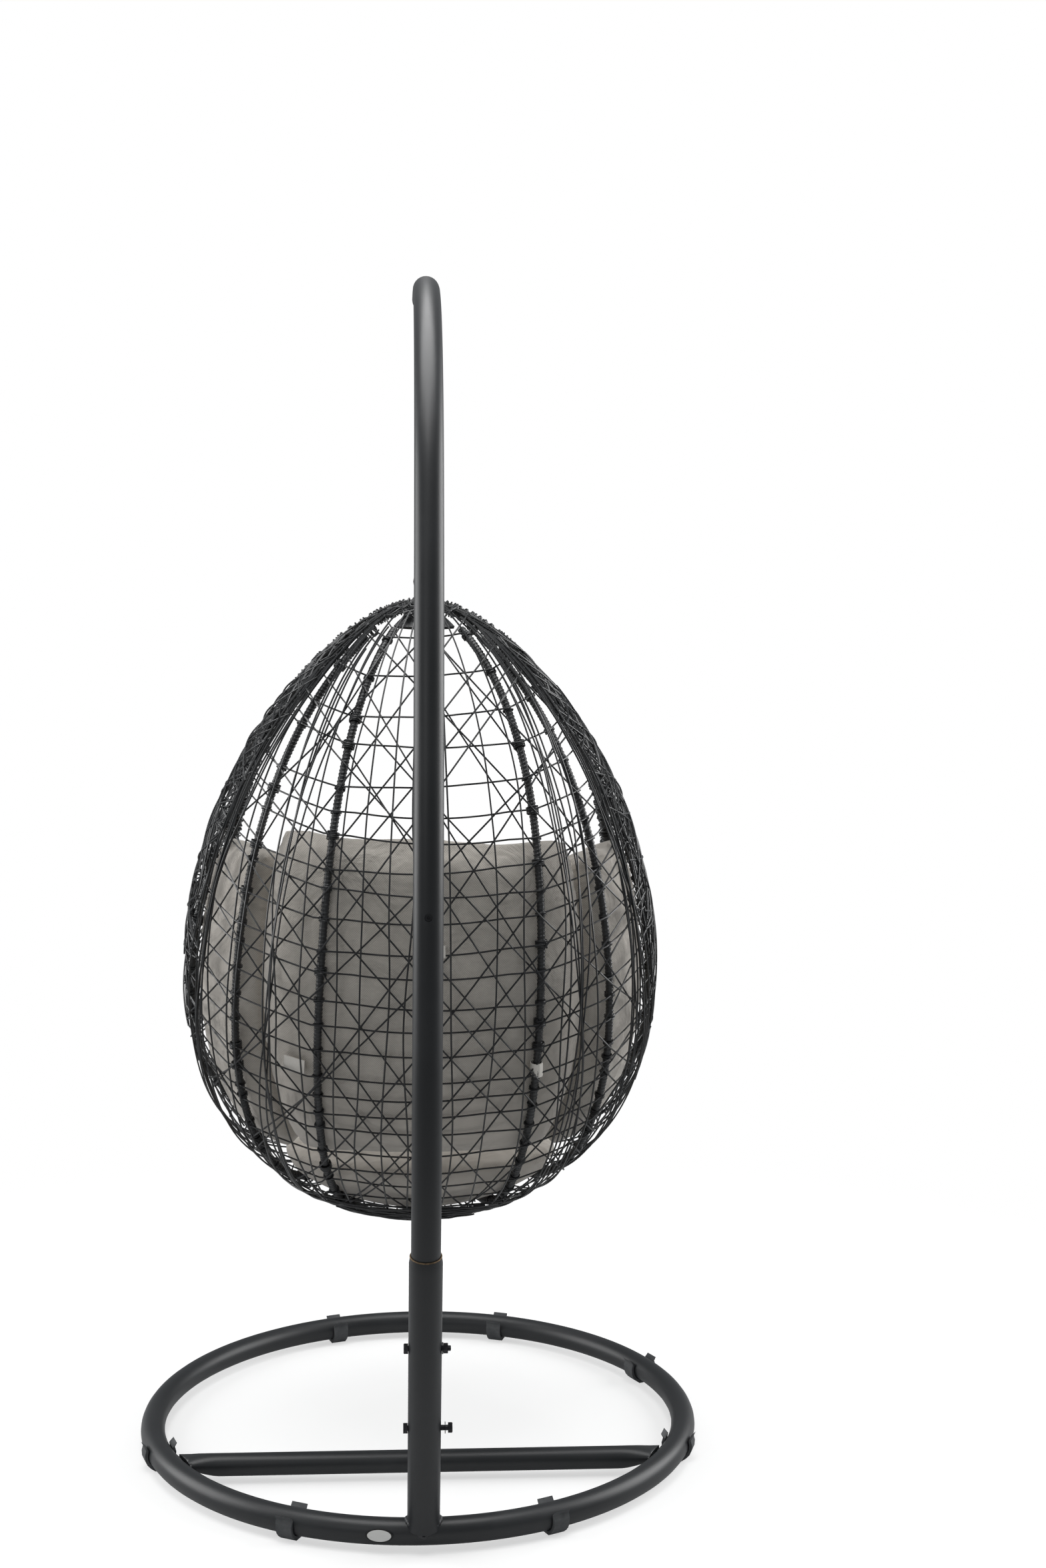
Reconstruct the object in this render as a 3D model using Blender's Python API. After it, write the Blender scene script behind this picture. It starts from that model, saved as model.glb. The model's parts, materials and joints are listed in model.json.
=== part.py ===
"""Hanging egg chair: a C-shaped pole on a ring base, with a woven basket hung from its arm.

Origin on the floor under the middle of the object's box, +Z up, the open front of the basket faces -Y.
All lengths are in metres and all angles in degrees.
"""
import math

import bmesh
import bpy
from mathutils import Matrix, Vector

GAP = 0.0003                 # air between two solids that touch

# base
RING_RADIUS = 0.455          # to the middle of the tube
RING_TUBE = 0.020
CLIP_WALL = 0.006            # rubber under the tube
CLIP_LENGTH = 0.027
CLIP_LIP = 0.005
CLIP_ANGLES = (26, -26, 71, -71, -116, 160, -160)   # from the post, seen from above
CROSS_TUBE_Y = 0.202
CROSS_TUBE = 0.018
CROSS_PINCH = 0.28           # height over width at the flattened ends
CROSS_WIDEN = 1.35           # how much wider a flattened end is than the tube
CROSS_LIFT = 0.0065          # the flattened ends lie this far above the tube's middle
CROSS_EASE = 0.07            # length over which an end flattens
BADGE_ANGLE = 8
BADGE = (0.021, 0.0105)
BADGE_THICKNESS = 0.0012

# pole
LEAN = 12                    # backward lean of the lower pole
NOD = 20                     # forward lean where the top bend begins
POST_TUBE = 0.0215
POST_WALL = 0.002
SOCKET_TUBE = 0.0245
SOCKET_WALL = 0.0025
SOCKET_LENGTH = 0.461        # up the lean, from the middle of the ring tube
SOCKET_FOOT = 0.004          # the socket is cut off this far above the middle of the ring tube
POST_START = 0.110           # bottom end of the post inside the socket
LEAN_LENGTH = 0.485          # straight stretch, from the middle of the ring tube
BOW_RADIUS = 2.0
TOP_RADIUS = 0.514
ARM_LENGTH = 0.045           # straight end beyond the top bend
CAP_THICKNESS = 0.004
CAP_PLUG = 0.012             # how deep the end cap reaches into the arm

# fasteners
BOLT = 0.004
BOLT_HOLE = 0.0043
HEAD_ACROSS = 0.013
HEAD_HEIGHT = 0.0065
NUT_HEIGHT = 0.0065
WASHER = 0.0085
WASHER_THICKNESS = 0.0016
UPPER_BOLT = 0.311           # up the lean, from the middle of the ring tube
LOWER_BOLT = 0.178
LOOSE_BOLT = 0.010           # how far the lower bolt is backed out
BOLT_TIP = 0.005             # length of a bolt beyond its nut
LOCK_SCREW_UP = 0.478        # length of the bow below the lock screw
LOCK_SCREW = 0.0052

# hanging hardware
EYE = (0.0135, 0.005)        # ring radius and bar radius
LINK = (0.012, 0.004)
SPRING_COIL = 0.0138
SPRING_WIRE = 0.003
SPRING_TURNS = 18
SPRING_PITCH = 0.0066
CROWN_EYE = (0.0135, 0.005)
PLAY = 0.0005                # between two links that bear on each other
UPPER_LINK = 0.054
LINK_NUT = 0.0066            # half width over the corners of the hex sleeve
LINK_NUT_LENGTH = 0.014
BARREL = 0.030
BARREL_RADIUS = 0.0125
SWIVEL_PLAY = 0.004          # between the barrel and the eye below it
HOOK_PLATE = 0.004

# basket
BASKET_TOP = 1.432
BASKET_WAIST = 0.791
BASKET_BOTTOM = 0.362
BASKET_HALF_WIDTH = 0.402
BASKET_DEPTH = 0.86          # depth over width of the full egg
BASKET_DRIFT = 0.088         # how far forward the bottom of the egg lies
LIP_HEIGHT = 0.540
HOOP_TUBE = 0.0105
RIB_TUBE = 0.007
RIB_END = 9                  # turn at which ribs stop short of crown and lip
RIB_STAGGER = 3.5            # each rib starts this much later than the one inside it
FAN_START = 15               # between these turns the ribs close in from their spread at the crown
FAN_END = 130
GUSSET_ANGLE = 34
GUSSET_INSET = 0.010
GUSSET_THICKNESS = 0.005
RIBS = {                     # side angle low down, extra at the crown, and how fast the extra fades
    "left": ((18.3, 10.5, 2.3), (34.5, 15.2, 1.3), (57.0, 3.0, 1.0)),
    "right": ((18.3, 19.0, 1.6), (34.5, 16.3, 1.3), (57.0, 3.0, 1.0)),
}
WEAVE_CLEARANCE = 0.0135     # from a rib's middle to the inside of the weave
WEAVE = 0.004
WEAVE_SPLIT = 38             # side angle of the seam between back and side skins
STRAP_OUTER = 0.0104
STRAP_INNER = 0.0088
STRAP_HEIGHT = 0.024
STRAP_TURN = 103.6
TABS = {                     # turn span and side span of each flat tie tab
    "left": ((102.3, 104.9), (21.1, 25.2)),
    "middle": ((79.7, 81.9), (-3.9, -1.0)),
}
TAB_THICKNESS = 0.002

# cushions
CUSHION_CLEARANCE = 0.014
BACK_THICKNESS = 0.085
BACK_ANGLE = 46              # plan angle of the back cushion's edges
BACK_HEIGHTS = (0.505, 1.075)
BOLSTER_ANGLES = (48.5, 84)
BOLSTER_HEIGHTS = (0.505, 1.045)
SEAT_RINGS = ((0.370, 0.95), (0.385, 1), (0.410, 1), (0.440, 1), (0.465, 1), (0.480, 0.98))
SEAT_TOP = 0.490
SEAT_EDGE = 0.93             # the flat top's share of the ring below it


def clear_scene():
    for item in list(bpy.data.objects):
        bpy.data.objects.remove(item, do_unlink=True)


def material(name, color, roughness, metallic=0.0):
    found = bpy.data.materials.get(name)
    if found:
        return found
    made = bpy.data.materials.new(name)
    made.use_nodes = True
    shader = made.node_tree.nodes["Principled BSDF"]
    shader.inputs["Base Color"].default_value = (*color, 1)
    shader.inputs["Roughness"].default_value = roughness
    shader.inputs["Metallic"].default_value = metallic
    return made


def powder_coat():
    return material("charcoal powder coat", (0.022, 0.025, 0.029), 0.45, 0.2)


def zinc():
    return material("zinc plated steel", (0.55, 0.55, 0.53), 0.35, 1.0)


def rubber():
    return material("grey rubber", (0.06, 0.065, 0.07), 0.7)


def wicker():
    return material("black wicker", (0.012, 0.013, 0.014), 0.4)


def fabric():
    return material("warm grey fabric", (0.45, 0.42, 0.38), 0.95)


def add_mesh(name, bm, finish, sharp=35):
    bmesh.ops.remove_doubles(bm, verts=bm.verts, dist=0.000001)
    bmesh.ops.recalc_face_normals(bm, faces=bm.faces)
    mesh = bpy.data.meshes.new(name)
    bm.to_mesh(mesh)
    bm.free()
    mesh.materials.append(finish)
    mesh.shade_smooth()
    mesh.set_sharp_from_angle(angle=math.radians(sharp))
    made = bpy.data.objects.new(name, mesh)
    bpy.context.scene.collection.objects.link(made)
    return made


def cutter(name, bm):
    bmesh.ops.recalc_face_normals(bm, faces=bm.faces)
    mesh = bpy.data.meshes.new(name)
    bm.to_mesh(mesh)
    bm.free()
    made = bpy.data.objects.new(name, mesh)
    made.hide_render = True
    made.display_type = "WIRE"
    bpy.context.scene.collection.objects.link(made)
    return made


def cut(target, tool, operation="DIFFERENCE"):
    change = target.modifiers.new(operation.lower(), "BOOLEAN")
    change.operation = operation
    change.object = tool


def add_tube(bm, points, radii, sides, closed=False, flatten=None, up=Vector((1, 0, 0))):
    """A tube through points; flatten gives each section's height as a share of its width."""
    count = len(points)
    rings = []
    for index, point in enumerate(points):
        after = points[(index + 1) % count] if closed or index < count - 1 else point
        before = points[index - 1] if closed or index > 0 else point
        along = (after - before).normalized()
        side = (up - along * up.dot(along)).normalized()
        over = along.cross(side)
        squeeze = flatten[index] if flatten else 1
        ring = []
        for step in range(sides):
            turn = math.tau * (step + 0.5) / sides
            offset = side * math.cos(turn) + over * math.sin(turn) * squeeze
            ring.append(bm.verts.new(point + offset * radii[index]))
        rings.append(ring)
    last = count if closed else count - 1
    for index in range(last):
        ring = rings[index]
        following = rings[(index + 1) % count]
        for step in range(sides):
            nearby = (step + 1) % sides
            bm.faces.new((ring[step], ring[nearby], following[nearby], following[step]))
    if not closed:
        bm.faces.new(rings[0][::-1])
        bm.faces.new(rings[-1])


def tube(name, points, radius, sides, finish, closed=False, up=Vector((1, 0, 0))):
    bm = bmesh.new()
    add_tube(bm, points, [radius] * len(points), sides, closed, up=up)
    return add_mesh(name, bm, finish)


def add_pipe(bm, points, outer, inner, sides):
    """An open pipe: an outer and an inner wall joined at both ends."""
    walls = []
    for radius in (outer, inner):
        part = bmesh.new()
        add_tube(part, points, [radius] * len(points), sides)
        for face in [face for face in part.faces if len(face.verts) > 4]:
            part.faces.remove(face)
        mesh = bpy.data.meshes.new("wall")
        part.to_mesh(mesh)
        part.free()
        before = len(bm.verts)
        bm.from_mesh(mesh)
        bm.verts.ensure_lookup_table()
        walls.append(bm.verts[before:])
        bpy.data.meshes.remove(mesh)
    for first in (0, len(walls[0]) - sides):
        for step in range(sides):
            nearby = (step + 1) % sides
            bm.faces.new((walls[0][first + step], walls[0][first + nearby],
                          walls[1][first + nearby], walls[1][first + step]))


def axis_place(center, axis):
    """The transform that stands a turned shape on center, along axis."""
    return Matrix.Translation(center) @ Vector(axis).to_track_quat("Z", "Y").to_matrix().to_4x4()


def add_ring(bm, place, along, radius, sides, hexagonal=False):
    """One ring of vertices about the axis; a hexagonal one has its flats between its corners."""
    ring = []
    for step in range(sides):
        angle = math.tau * step / sides
        reach = radius * math.cos(math.pi / 6) if hexagonal and step % 2 else radius
        ring.append(bm.verts.new(place @ Vector((reach * math.cos(angle), reach * math.sin(angle), along))))
    return ring


def join_rings(bm, rings, looped=False):
    """Side faces from ring to ring; a loop closes on its first ring, otherwise both ends are capped."""
    pairs = list(zip(rings, rings[1:]))
    if looped:
        pairs.append((rings[-1], rings[0]))
    for low, high in pairs:
        for step in range(len(low)):
            nearby = (step + 1) % len(low)
            bm.faces.new((low[step], low[nearby], high[nearby], high[step]))
    if not looped:
        bm.faces.new(rings[0][::-1])
        bm.faces.new(rings[-1])


def add_turned(bm, profile, center, axis, sides):
    """A solid turned about axis from (distance along it, radius) pairs, closed at both ends."""
    place = axis_place(center, axis)
    join_rings(bm, [add_ring(bm, place, along, radius, sides) for along, radius in profile])


def turned(name, profile, center, axis, sides, finish):
    bm = bmesh.new()
    add_turned(bm, profile, center, axis, sides)
    return add_mesh(name, bm, finish)


def collar(name, outer, inner, thickness, center, axis, hexagonal=False):
    """A washer or a nut: a ring of the given thickness lying along axis from center."""
    bm = bmesh.new()
    place = axis_place(center, axis)
    rings = [add_ring(bm, place, along, radius, 16 if not hexagonal else 12, hexagonal and radius == outer)
             for along, radius in ((0, outer), (thickness, outer), (thickness, inner), (0, inner))]
    join_rings(bm, rings, looped=True)
    add_mesh(name, bm, zinc(), 30)


def lean_point(distance):
    """A point on the leaning line of the lower pole, measured from the middle of the ring tube."""
    angle = math.radians(LEAN)
    return Vector((0, RING_RADIUS + distance * math.sin(angle), RING_HEIGHT + distance * math.cos(angle)))


def bow_point(length):
    """A point on the long bow above the lean, and its direction as an angle from upright."""
    start = lean_point(LEAN_LENGTH)
    lean = math.radians(LEAN)
    angle = lean - length / BOW_RADIUS
    point = start + Vector((0, BOW_RADIUS * (math.cos(angle) - math.cos(lean)),
                            BOW_RADIUS * (math.sin(lean) - math.sin(angle))))
    return point, angle


def top_point(share):
    """A point on the top bend, share 0 at the end of the bow and 1 where the arm is level."""
    start, nod = bow_point(BOW_RADIUS * math.radians(LEAN + NOD))
    middle = start + Vector((0, -math.cos(nod), math.sin(nod))) * TOP_RADIUS
    angle = nod + (-math.pi / 2 - nod) * share
    return middle + Vector((0, math.cos(angle), -math.sin(angle))) * TOP_RADIUS


RING_HEIGHT = RING_TUBE + CLIP_WALL


def post_points():
    points = [lean_point(POST_START), lean_point((POST_START + LEAN_LENGTH) / 2), lean_point(LEAN_LENGTH)]
    bow = BOW_RADIUS * math.radians(LEAN + NOD)
    points += [bow_point(bow * step / 12)[0] for step in range(1, 13)]
    points += [top_point(step / 12) for step in range(1, 13)]
    points.append(points[-1] + Vector((0, -ARM_LENGTH, 0)))
    return points


def build_base():
    steps = 60
    circle = []
    for step in range(steps):
        turn = math.tau * step / steps
        circle.append(Vector((RING_RADIUS * math.sin(turn), RING_RADIUS * math.cos(turn), RING_HEIGHT)))
    tube("base_ring", circle, RING_TUBE, 12, powder_coat(), closed=True, up=Vector((0, 0, 1)))

    reach = math.sqrt(RING_RADIUS ** 2 - CROSS_TUBE_Y ** 2)
    inward = RING_TUBE * RING_RADIUS / reach + 0.0015
    half = reach - inward
    shares = (0, 0.02, 0.04, 0.065, 0.1, 0.5, 0.9, 0.935, 0.96, 0.98, 1)
    points = []
    flatten = []
    radii = []
    for share in shares:
        near_end = min(share, 1 - share) * 2 * half
        ease = min(1, near_end / CROSS_EASE)
        ease = ease * ease * (3 - 2 * ease)
        height = RING_HEIGHT + CROSS_LIFT * (1 - ease)
        points.append(Vector((half * (2 * share - 1), CROSS_TUBE_Y, height)))
        flatten.append(CROSS_PINCH + (1 - CROSS_PINCH) * ease)
        radii.append(CROSS_TUBE * (CROSS_WIDEN - (CROSS_WIDEN - 1) * ease))
    bm = bmesh.new()
    add_tube(bm, points, radii, 14, flatten=flatten, up=Vector((0, 1, 0)))
    end_slope = CROSS_TUBE_Y / reach
    clear = 0.0016
    for vert in bm.verts:
        if abs(vert.co.x) > half - 0.004:
            slant = (vert.co.y - CROSS_TUBE_Y) * end_slope
            vert.co.x = math.copysign(half - clear - slant, vert.co.x)
    add_mesh("base_cross_tube", bm, powder_coat())

    for number, angle in enumerate(CLIP_ANGLES, 1):
        build_clip(f"foot_clip_{number}", angle)
    build_badge()


def build_clip(name, angle):
    """A rubber U that hugs the ring tube from below, with two flared lips and a flat foot."""
    inner = RING_TUBE + 2.5 * GAP
    outer = RING_TUBE + CLIP_WALL
    floor = -RING_HEIGHT
    profile = []
    steps = 12
    for step in range(steps + 1):
        turn = math.radians(-205 + 230 * step / steps)
        profile.append((outer * math.cos(turn), max(outer * math.sin(turn), floor)))
    tip = math.radians(25)
    lip = inner + CLIP_WALL + CLIP_LIP
    profile.append((lip * math.cos(tip + 0.12), lip * math.sin(tip + 0.12)))
    for step in range(steps + 1):
        turn = math.radians(25 - 230 * step / steps)
        reach = inner + (0.0008 if step in (0, steps) else 0)
        profile.append((reach * math.cos(turn) / math.cos(math.radians(115 / steps)),
                        reach * math.sin(turn) / math.cos(math.radians(115 / steps))))
    profile.append((-lip * math.cos(tip + 0.12), lip * math.sin(tip + 0.12)))
    for index, spot in enumerate(profile):
        if abs(spot[0]) < 0.011 and spot[1] < -RING_TUBE - 0.003:
            profile[index] = (spot[0], floor)
    turn = math.radians(angle)
    outward = Vector((math.sin(turn), math.cos(turn), 0))
    along = Vector((math.cos(turn), -math.sin(turn), 0))
    middle = outward * RING_RADIUS + Vector((0, 0, RING_HEIGHT))
    bm = bmesh.new()
    verts = []
    start = middle - along * CLIP_LENGTH / 2
    for across, height in profile:
        verts.append(bm.verts.new(start + outward * across + Vector((0, 0, height))))
    face = bm.faces.new(verts)
    grown = bmesh.ops.extrude_face_region(bm, geom=[face])["geom"]
    moved = [item for item in grown if isinstance(item, bmesh.types.BMVert)]
    bmesh.ops.translate(bm, verts=moved, vec=along * CLIP_LENGTH)
    bmesh.ops.triangulate(bm, faces=bm.faces)
    add_mesh(name, bm, rubber(), 40)


def build_badge():
    """A blank oval plate on the outside of the ring, beside the post."""
    turn = math.radians(BADGE_ANGLE)
    outward = Vector((math.sin(turn), math.cos(turn), 0))
    along = Vector((math.cos(turn), -math.sin(turn), 0))
    middle = outward * (RING_RADIUS + RING_TUBE + 0.0004) + Vector((0, 0, RING_HEIGHT + 0.002))
    bm = bmesh.new()
    rings = []
    for depth in (0, BADGE_THICKNESS):
        ring = []
        for step in range(20):
            angle = math.tau * step / 20
            across = along * BADGE[0] * math.cos(angle) + Vector((0, 0, BADGE[1] * math.sin(angle)))
            ring.append(bm.verts.new(middle + outward * depth + across))
        rings.append(ring)
    join_rings(bm, rings)
    add_mesh("blank_badge", bm, material("satin silver", (0.7, 0.7, 0.68), 0.35, 0.8))


def build_post():
    points = post_points()
    bm = bmesh.new()
    add_pipe(bm, points, POST_TUBE, POST_TUBE - POST_WALL, 16)
    post = add_mesh("main_post", bm, powder_coat())

    bm = bmesh.new()
    add_pipe(bm, [lean_point(0), lean_point(SOCKET_LENGTH)], SOCKET_TUBE, SOCKET_TUBE - SOCKET_WALL, 20)
    socket = add_mesh("post_socket", bm, powder_coat())
    arc = [math.radians(-14 + 28 * step / 12) for step in range(13)]
    bm = bmesh.new()
    add_tube(bm, [Vector((RING_RADIUS * math.sin(turn), RING_RADIUS * math.cos(turn), RING_HEIGHT))
                  for turn in arc], [RING_TUBE + 2 * GAP] * 13, 24, up=Vector((0, 0, 1)))
    cut(socket, cutter("ring_cutter", bm))
    below = bmesh.new()
    place = Matrix.Translation((0, RING_RADIUS, RING_HEIGHT + SOCKET_FOOT - 0.5))
    bmesh.ops.create_cube(below, size=1, matrix=place)
    cut(socket, cutter("below_cutter", below))

    for name, distance in (("upper_hole", UPPER_BOLT), ("lower_hole", LOWER_BOLT)):
        center = lean_point(distance)
        bm = bmesh.new()
        add_turned(bm, ((-0.04, BOLT_HOLE), (0.04, BOLT_HOLE)), center, (1, 0, 0), 16)
        hole = cutter(name, bm)
        cut(socket, hole)
        cut(post, hole)

    spot, angle = bow_point(LOCK_SCREW_UP)
    outward = Vector((0, math.cos(angle), -math.sin(angle)))
    bm = bmesh.new()
    add_turned(bm, ((0.010, LOCK_SCREW + GAP), (0.030, LOCK_SCREW + GAP)), spot, outward, 20)
    cut(post, cutter("lock_screw_hole", bm))
    screw = turned("post_lock_screw", ((0.008, LOCK_SCREW), (POST_TUBE - 0.0008, LOCK_SCREW)),
                   spot, outward, 20, zinc())
    bm = bmesh.new()
    add_turned(bm, ((POST_TUBE - 0.004, 0.0026), (POST_TUBE + 0.002, 0.0026)), spot, outward, 6)
    cut(screw, cutter("screw_key", bm))

    tip = points[-1]
    plug = POST_TUBE - POST_WALL - 2 * GAP
    profile = ((-CAP_PLUG, plug), (GAP, plug), (GAP, POST_TUBE), (CAP_THICKNESS * 0.6, POST_TUBE),
               (CAP_THICKNESS, POST_TUBE * 0.85))
    turned("arm_end_cap", profile, tip, (0, -1, 0), 20, material("black plastic", (0.02, 0.02, 0.02), 0.5))


def build_bolts():
    """Two hex bolts across the socket: the upper one tight, the lower one backed out of its washer."""
    corner = HEAD_ACROSS / 2 / math.cos(math.pi / 6)
    bore = BOLT + GAP
    for name, distance, side, loose in (("upper", UPPER_BOLT, 1, 0), ("lower", LOWER_BOLT, -1, LOOSE_BOLT)):
        center = lean_point(distance)
        axis = Vector((side, 0, 0))
        add_bolt(f"socket_bolt_{name}", center + axis * loose, axis, corner)
        seat = center - axis * (SOCKET_TUBE + GAP)
        if loose:
            washer_at = center + axis * (SOCKET_TUBE + loose * 0.55)
            collar(f"socket_washer_{name}", WASHER, bore, WASHER_THICKNESS * 0.6, washer_at, axis)
            collar(f"socket_nut_{name}", corner, bore, NUT_HEIGHT, seat, -axis, hexagonal=True)
        else:
            collar(f"socket_washer_{name}", WASHER, bore, WASHER_THICKNESS, seat, -axis)
            seat = seat - axis * (WASHER_THICKNESS + GAP)
            collar(f"socket_nut_{name}", corner, bore, NUT_HEIGHT, seat, -axis, hexagonal=True)


def add_bolt(name, center, axis, corner):
    """A hex head against the socket wall and a round shank that passes right through it."""
    under = SOCKET_TUBE + GAP
    tip = -(SOCKET_TUBE + NUT_HEIGHT + WASHER_THICKNESS + BOLT_TIP)
    place = axis_place(center, axis)
    sides = 12
    bm = bmesh.new()
    shank = [add_ring(bm, place, along, radius, sides)
             for along, radius in ((tip, BOLT * 0.85), (tip + 0.001, BOLT), (under, BOLT))]
    head = [add_ring(bm, place, along, corner, sides, hexagonal=True)
            for along in (under, under + HEAD_HEIGHT * 0.85)]
    crown = add_ring(bm, place, under + HEAD_HEIGHT, corner * 0.9, sides)
    join_rings(bm, shank + head + [crown])
    add_mesh(name, bm, zinc(), 30)


def link_points(top, length, radius, across):
    """A long link hanging from top: two half rings of the given radius and two straight sides."""
    points = []
    straight = length - 2 * radius
    for step in range(9):
        angle = math.pi * step / 8
        points.append(Vector(top) + Vector(across) * radius * math.cos(angle)
                      + Vector((0, 0, -radius + radius * math.sin(angle))))
    for step in range(9):
        angle = math.pi + math.pi * step / 8
        points.append(Vector(top) + Vector(across) * radius * math.cos(angle)
                      + Vector((0, 0, -radius - straight + radius * math.sin(angle))))
    if straight < 0.0001:
        points = points[:9] + points[10:17]
    return points


def add_link(bm, top, length, shape, across):
    radius, bar = shape
    points = link_points(top, length, radius, across)
    normal = Vector(across).cross(Vector((0, 0, 1)))
    add_tube(bm, points, [bar] * len(points), 8, closed=True, up=normal)


def link(name, top, length, shape, across, finish):
    bm = bmesh.new()
    add_link(bm, top, length, shape, across)
    return add_mesh(name, bm, finish)


def eye_and_stem(name, top, shape, across, profile, base, finish):
    """A closed eye joined to a turned stem, as one solid."""
    bm = bmesh.new()
    add_link(bm, top, 2 * shape[0], shape, across)
    eye = add_mesh(name, bm, finish)
    bm = bmesh.new()
    add_turned(bm, profile, base, (0, 0, 1), 16)
    cut(eye, cutter(name + "_stem", bm), "UNION")
    return eye


def build_hanger():
    """Everything between the arm and the basket, from the top down."""
    across_x = (1, 0, 0)
    across_y = (0, 1, 0)
    arm_under = top_point(1).z - POST_TUBE
    top = arm_under - GAP - 0.0002 - EYE[1]
    link("arm_eye", (0, 0, top), 2 * EYE[0], EYE, across_x, powder_coat())
    pivot_x = top - 2 * EYE[0]

    top = pivot_x + EYE[1] + LINK[1] + PLAY
    link("upper_quick_link", (0, 0, top), UPPER_LINK, LINK, across_y, zinc())
    add_link_nut("upper_link_nut", (0, -LINK[0], top - UPPER_LINK / 2))
    pivot_y = top - UPPER_LINK

    top = pivot_y + 2 * LINK[1] + PLAY
    barrel_top = top - 2 * LINK[0] + LINK[1] * 0.5
    base = (0, 0, barrel_top - BARREL)
    profile = ((0, BARREL_RADIUS), (BARREL - 0.004, BARREL_RADIUS), (BARREL, 0.008))
    housing = eye_and_stem("swivel_housing", (0, 0, top), LINK, across_x, profile, base, zinc())
    bm = bmesh.new()
    profile = ((-0.002, 0.0055), (0.007, 0.0055), (0.0071, 0.0098), (0.019, 0.0098))
    add_turned(bm, profile, base, (0, 0, 1), 16)
    cut(housing, cutter("swivel_bore", bm))

    eye_top = barrel_top - BARREL - SWIVEL_PLAY
    stem_base = (0, 0, eye_top - LINK[1])
    lift = LINK[1] + SWIVEL_PLAY
    eye_and_stem("swivel_spindle", (0, 0, eye_top), LINK, across_x,
                 ((0, 0.0045), (lift + 0.0085, 0.0045), (lift + 0.0086, 0.009), (lift + 0.014, 0.009),
                  (lift + 0.016, 0.006)), stem_base, zinc())

    top = eye_top - 2 * LINK[0] + 2 * LINK[1] + PLAY
    plate = SPRING_COIL + SPRING_WIRE
    plug_base = top - 2 * LINK[0] - HOOK_PLATE
    eye_and_stem("spring_top_hook", (0, 0, top), LINK, across_y,
                 ((0, plate), (HOOK_PLATE, plate), (0.007, 0.008)), (0, 0, plug_base), zinc())
    coil_top = plug_base - GAP
    coil_bottom = coil_top - SPRING_TURNS * SPRING_PITCH - 2 * SPRING_WIRE
    build_spring(coil_top)
    bottom_top = coil_bottom - GAP - 0.003
    profile = ((-HOOK_PLATE, 0.008), (-0.001, plate), (HOOK_PLATE - 0.001, plate))
    place = (0, 0, bottom_top)
    eye_and_stem("spring_bottom_hook", place, LINK, across_y, profile, place, zinc())

    top = bottom_top - 2 * LINK[0] + 2 * LINK[1] + PLAY
    crown_top = BASKET_TOP + HOOP_TUBE + GAP + 0.0002 + 2 * CROWN_EYE[0] + CROWN_EYE[1]
    bottom = crown_top - CROWN_EYE[1] - LINK[1] - PLAY
    middle_gain = 2 * LINK[1] + PLAY
    length = (top - bottom + middle_gain) / 2
    link("lower_quick_link", (0, 0, top), length, LINK, across_x, zinc())
    add_link_nut("lower_link_nut", (-LINK[0], 0, top - length / 2))
    top = top - length + middle_gain
    link("basket_link", (0, 0, top), length, LINK, across_y, zinc())
    link("crown_eye", (0, 0, crown_top), 2 * CROWN_EYE[0], CROWN_EYE, across_x, powder_coat())
    print(f"pivot_x {pivot_x:.4f} pivot_y {pivot_y:.4f} links {length:.4f}")
    print(f"coil {coil_top:.4f} {coil_bottom:.4f}")
    heights = {"stand": 0, "link": pivot_x, "swivel": pivot_y, "spindle": base[2], "basket": coil_bottom}
    return {body: Vector((0, 0, height)) for body, height in heights.items()}


def add_link_nut(name, center):
    """The hex sleeve that closes a quick link, running on one of its straight sides."""
    base = Vector(center) - Vector((0, 0, LINK_NUT_LENGTH / 2))
    collar(name, LINK_NUT, LINK[1] + GAP, LINK_NUT_LENGTH, base, (0, 0, 1), hexagonal=True)


def build_spring(coil_top):
    """A closely wound tension spring, straight up and down, with clean ends."""
    per_turn = 10
    steps = SPRING_TURNS * per_turn
    points = []
    for step in range(steps + 1):
        angle = math.tau * step / per_turn
        height = coil_top - SPRING_WIRE - SPRING_PITCH * step / per_turn
        points.append(Vector((SPRING_COIL * math.cos(angle), SPRING_COIL * math.sin(angle), height)))
    tube("extension_spring", points, SPRING_WIRE, 5, material("spring steel", (0.3, 0.3, 0.3), 0.35, 1.0),
         up=Vector((0, 0, 1)))


def egg_half_width(height):
    """Half the width of the full egg at a height: a pointed top and a rounder bottom."""
    if height >= BASKET_WAIST:
        share = (height - BASKET_WAIST) / (BASKET_TOP - BASKET_WAIST)
        return BASKET_HALF_WIDTH * max(0, 1 - share ** 2) ** (2 / 3)
    share = (BASKET_WAIST - height) / (BASKET_WAIST - BASKET_BOTTOM)
    return BASKET_HALF_WIDTH * max(0, 1 - share ** 2.15) ** (1 / 2.1)


def egg_middle(height):
    """The Y of the egg's middle at a height: the bottom lies a little forward of the crown."""
    return -BASKET_DRIFT * (BASKET_TOP - height) / (BASKET_TOP - BASKET_BOTTOM)


def inside_egg(point):
    if not BASKET_BOTTOM < point.z < BASKET_TOP:
        return False
    width = egg_half_width(point.z)
    across = point.x / width
    deep = (point.y - egg_middle(point.z)) / (width * BASKET_DEPTH)
    return across ** 2 + deep ** 2 < 1


def rim_frame():
    """Middle of the line from crown to lip, and its directions: up along it, and backward from it."""
    crown = Vector((0, 0, BASKET_TOP))
    front = egg_middle(LIP_HEIGHT) - egg_half_width(LIP_HEIGHT) * BASKET_DEPTH
    lip = Vector((0, front, LIP_HEIGHT))
    along = (crown - lip).normalized()
    back = Vector((0, along.z, -along.y))
    return (crown + lip) / 2, along, back


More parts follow.
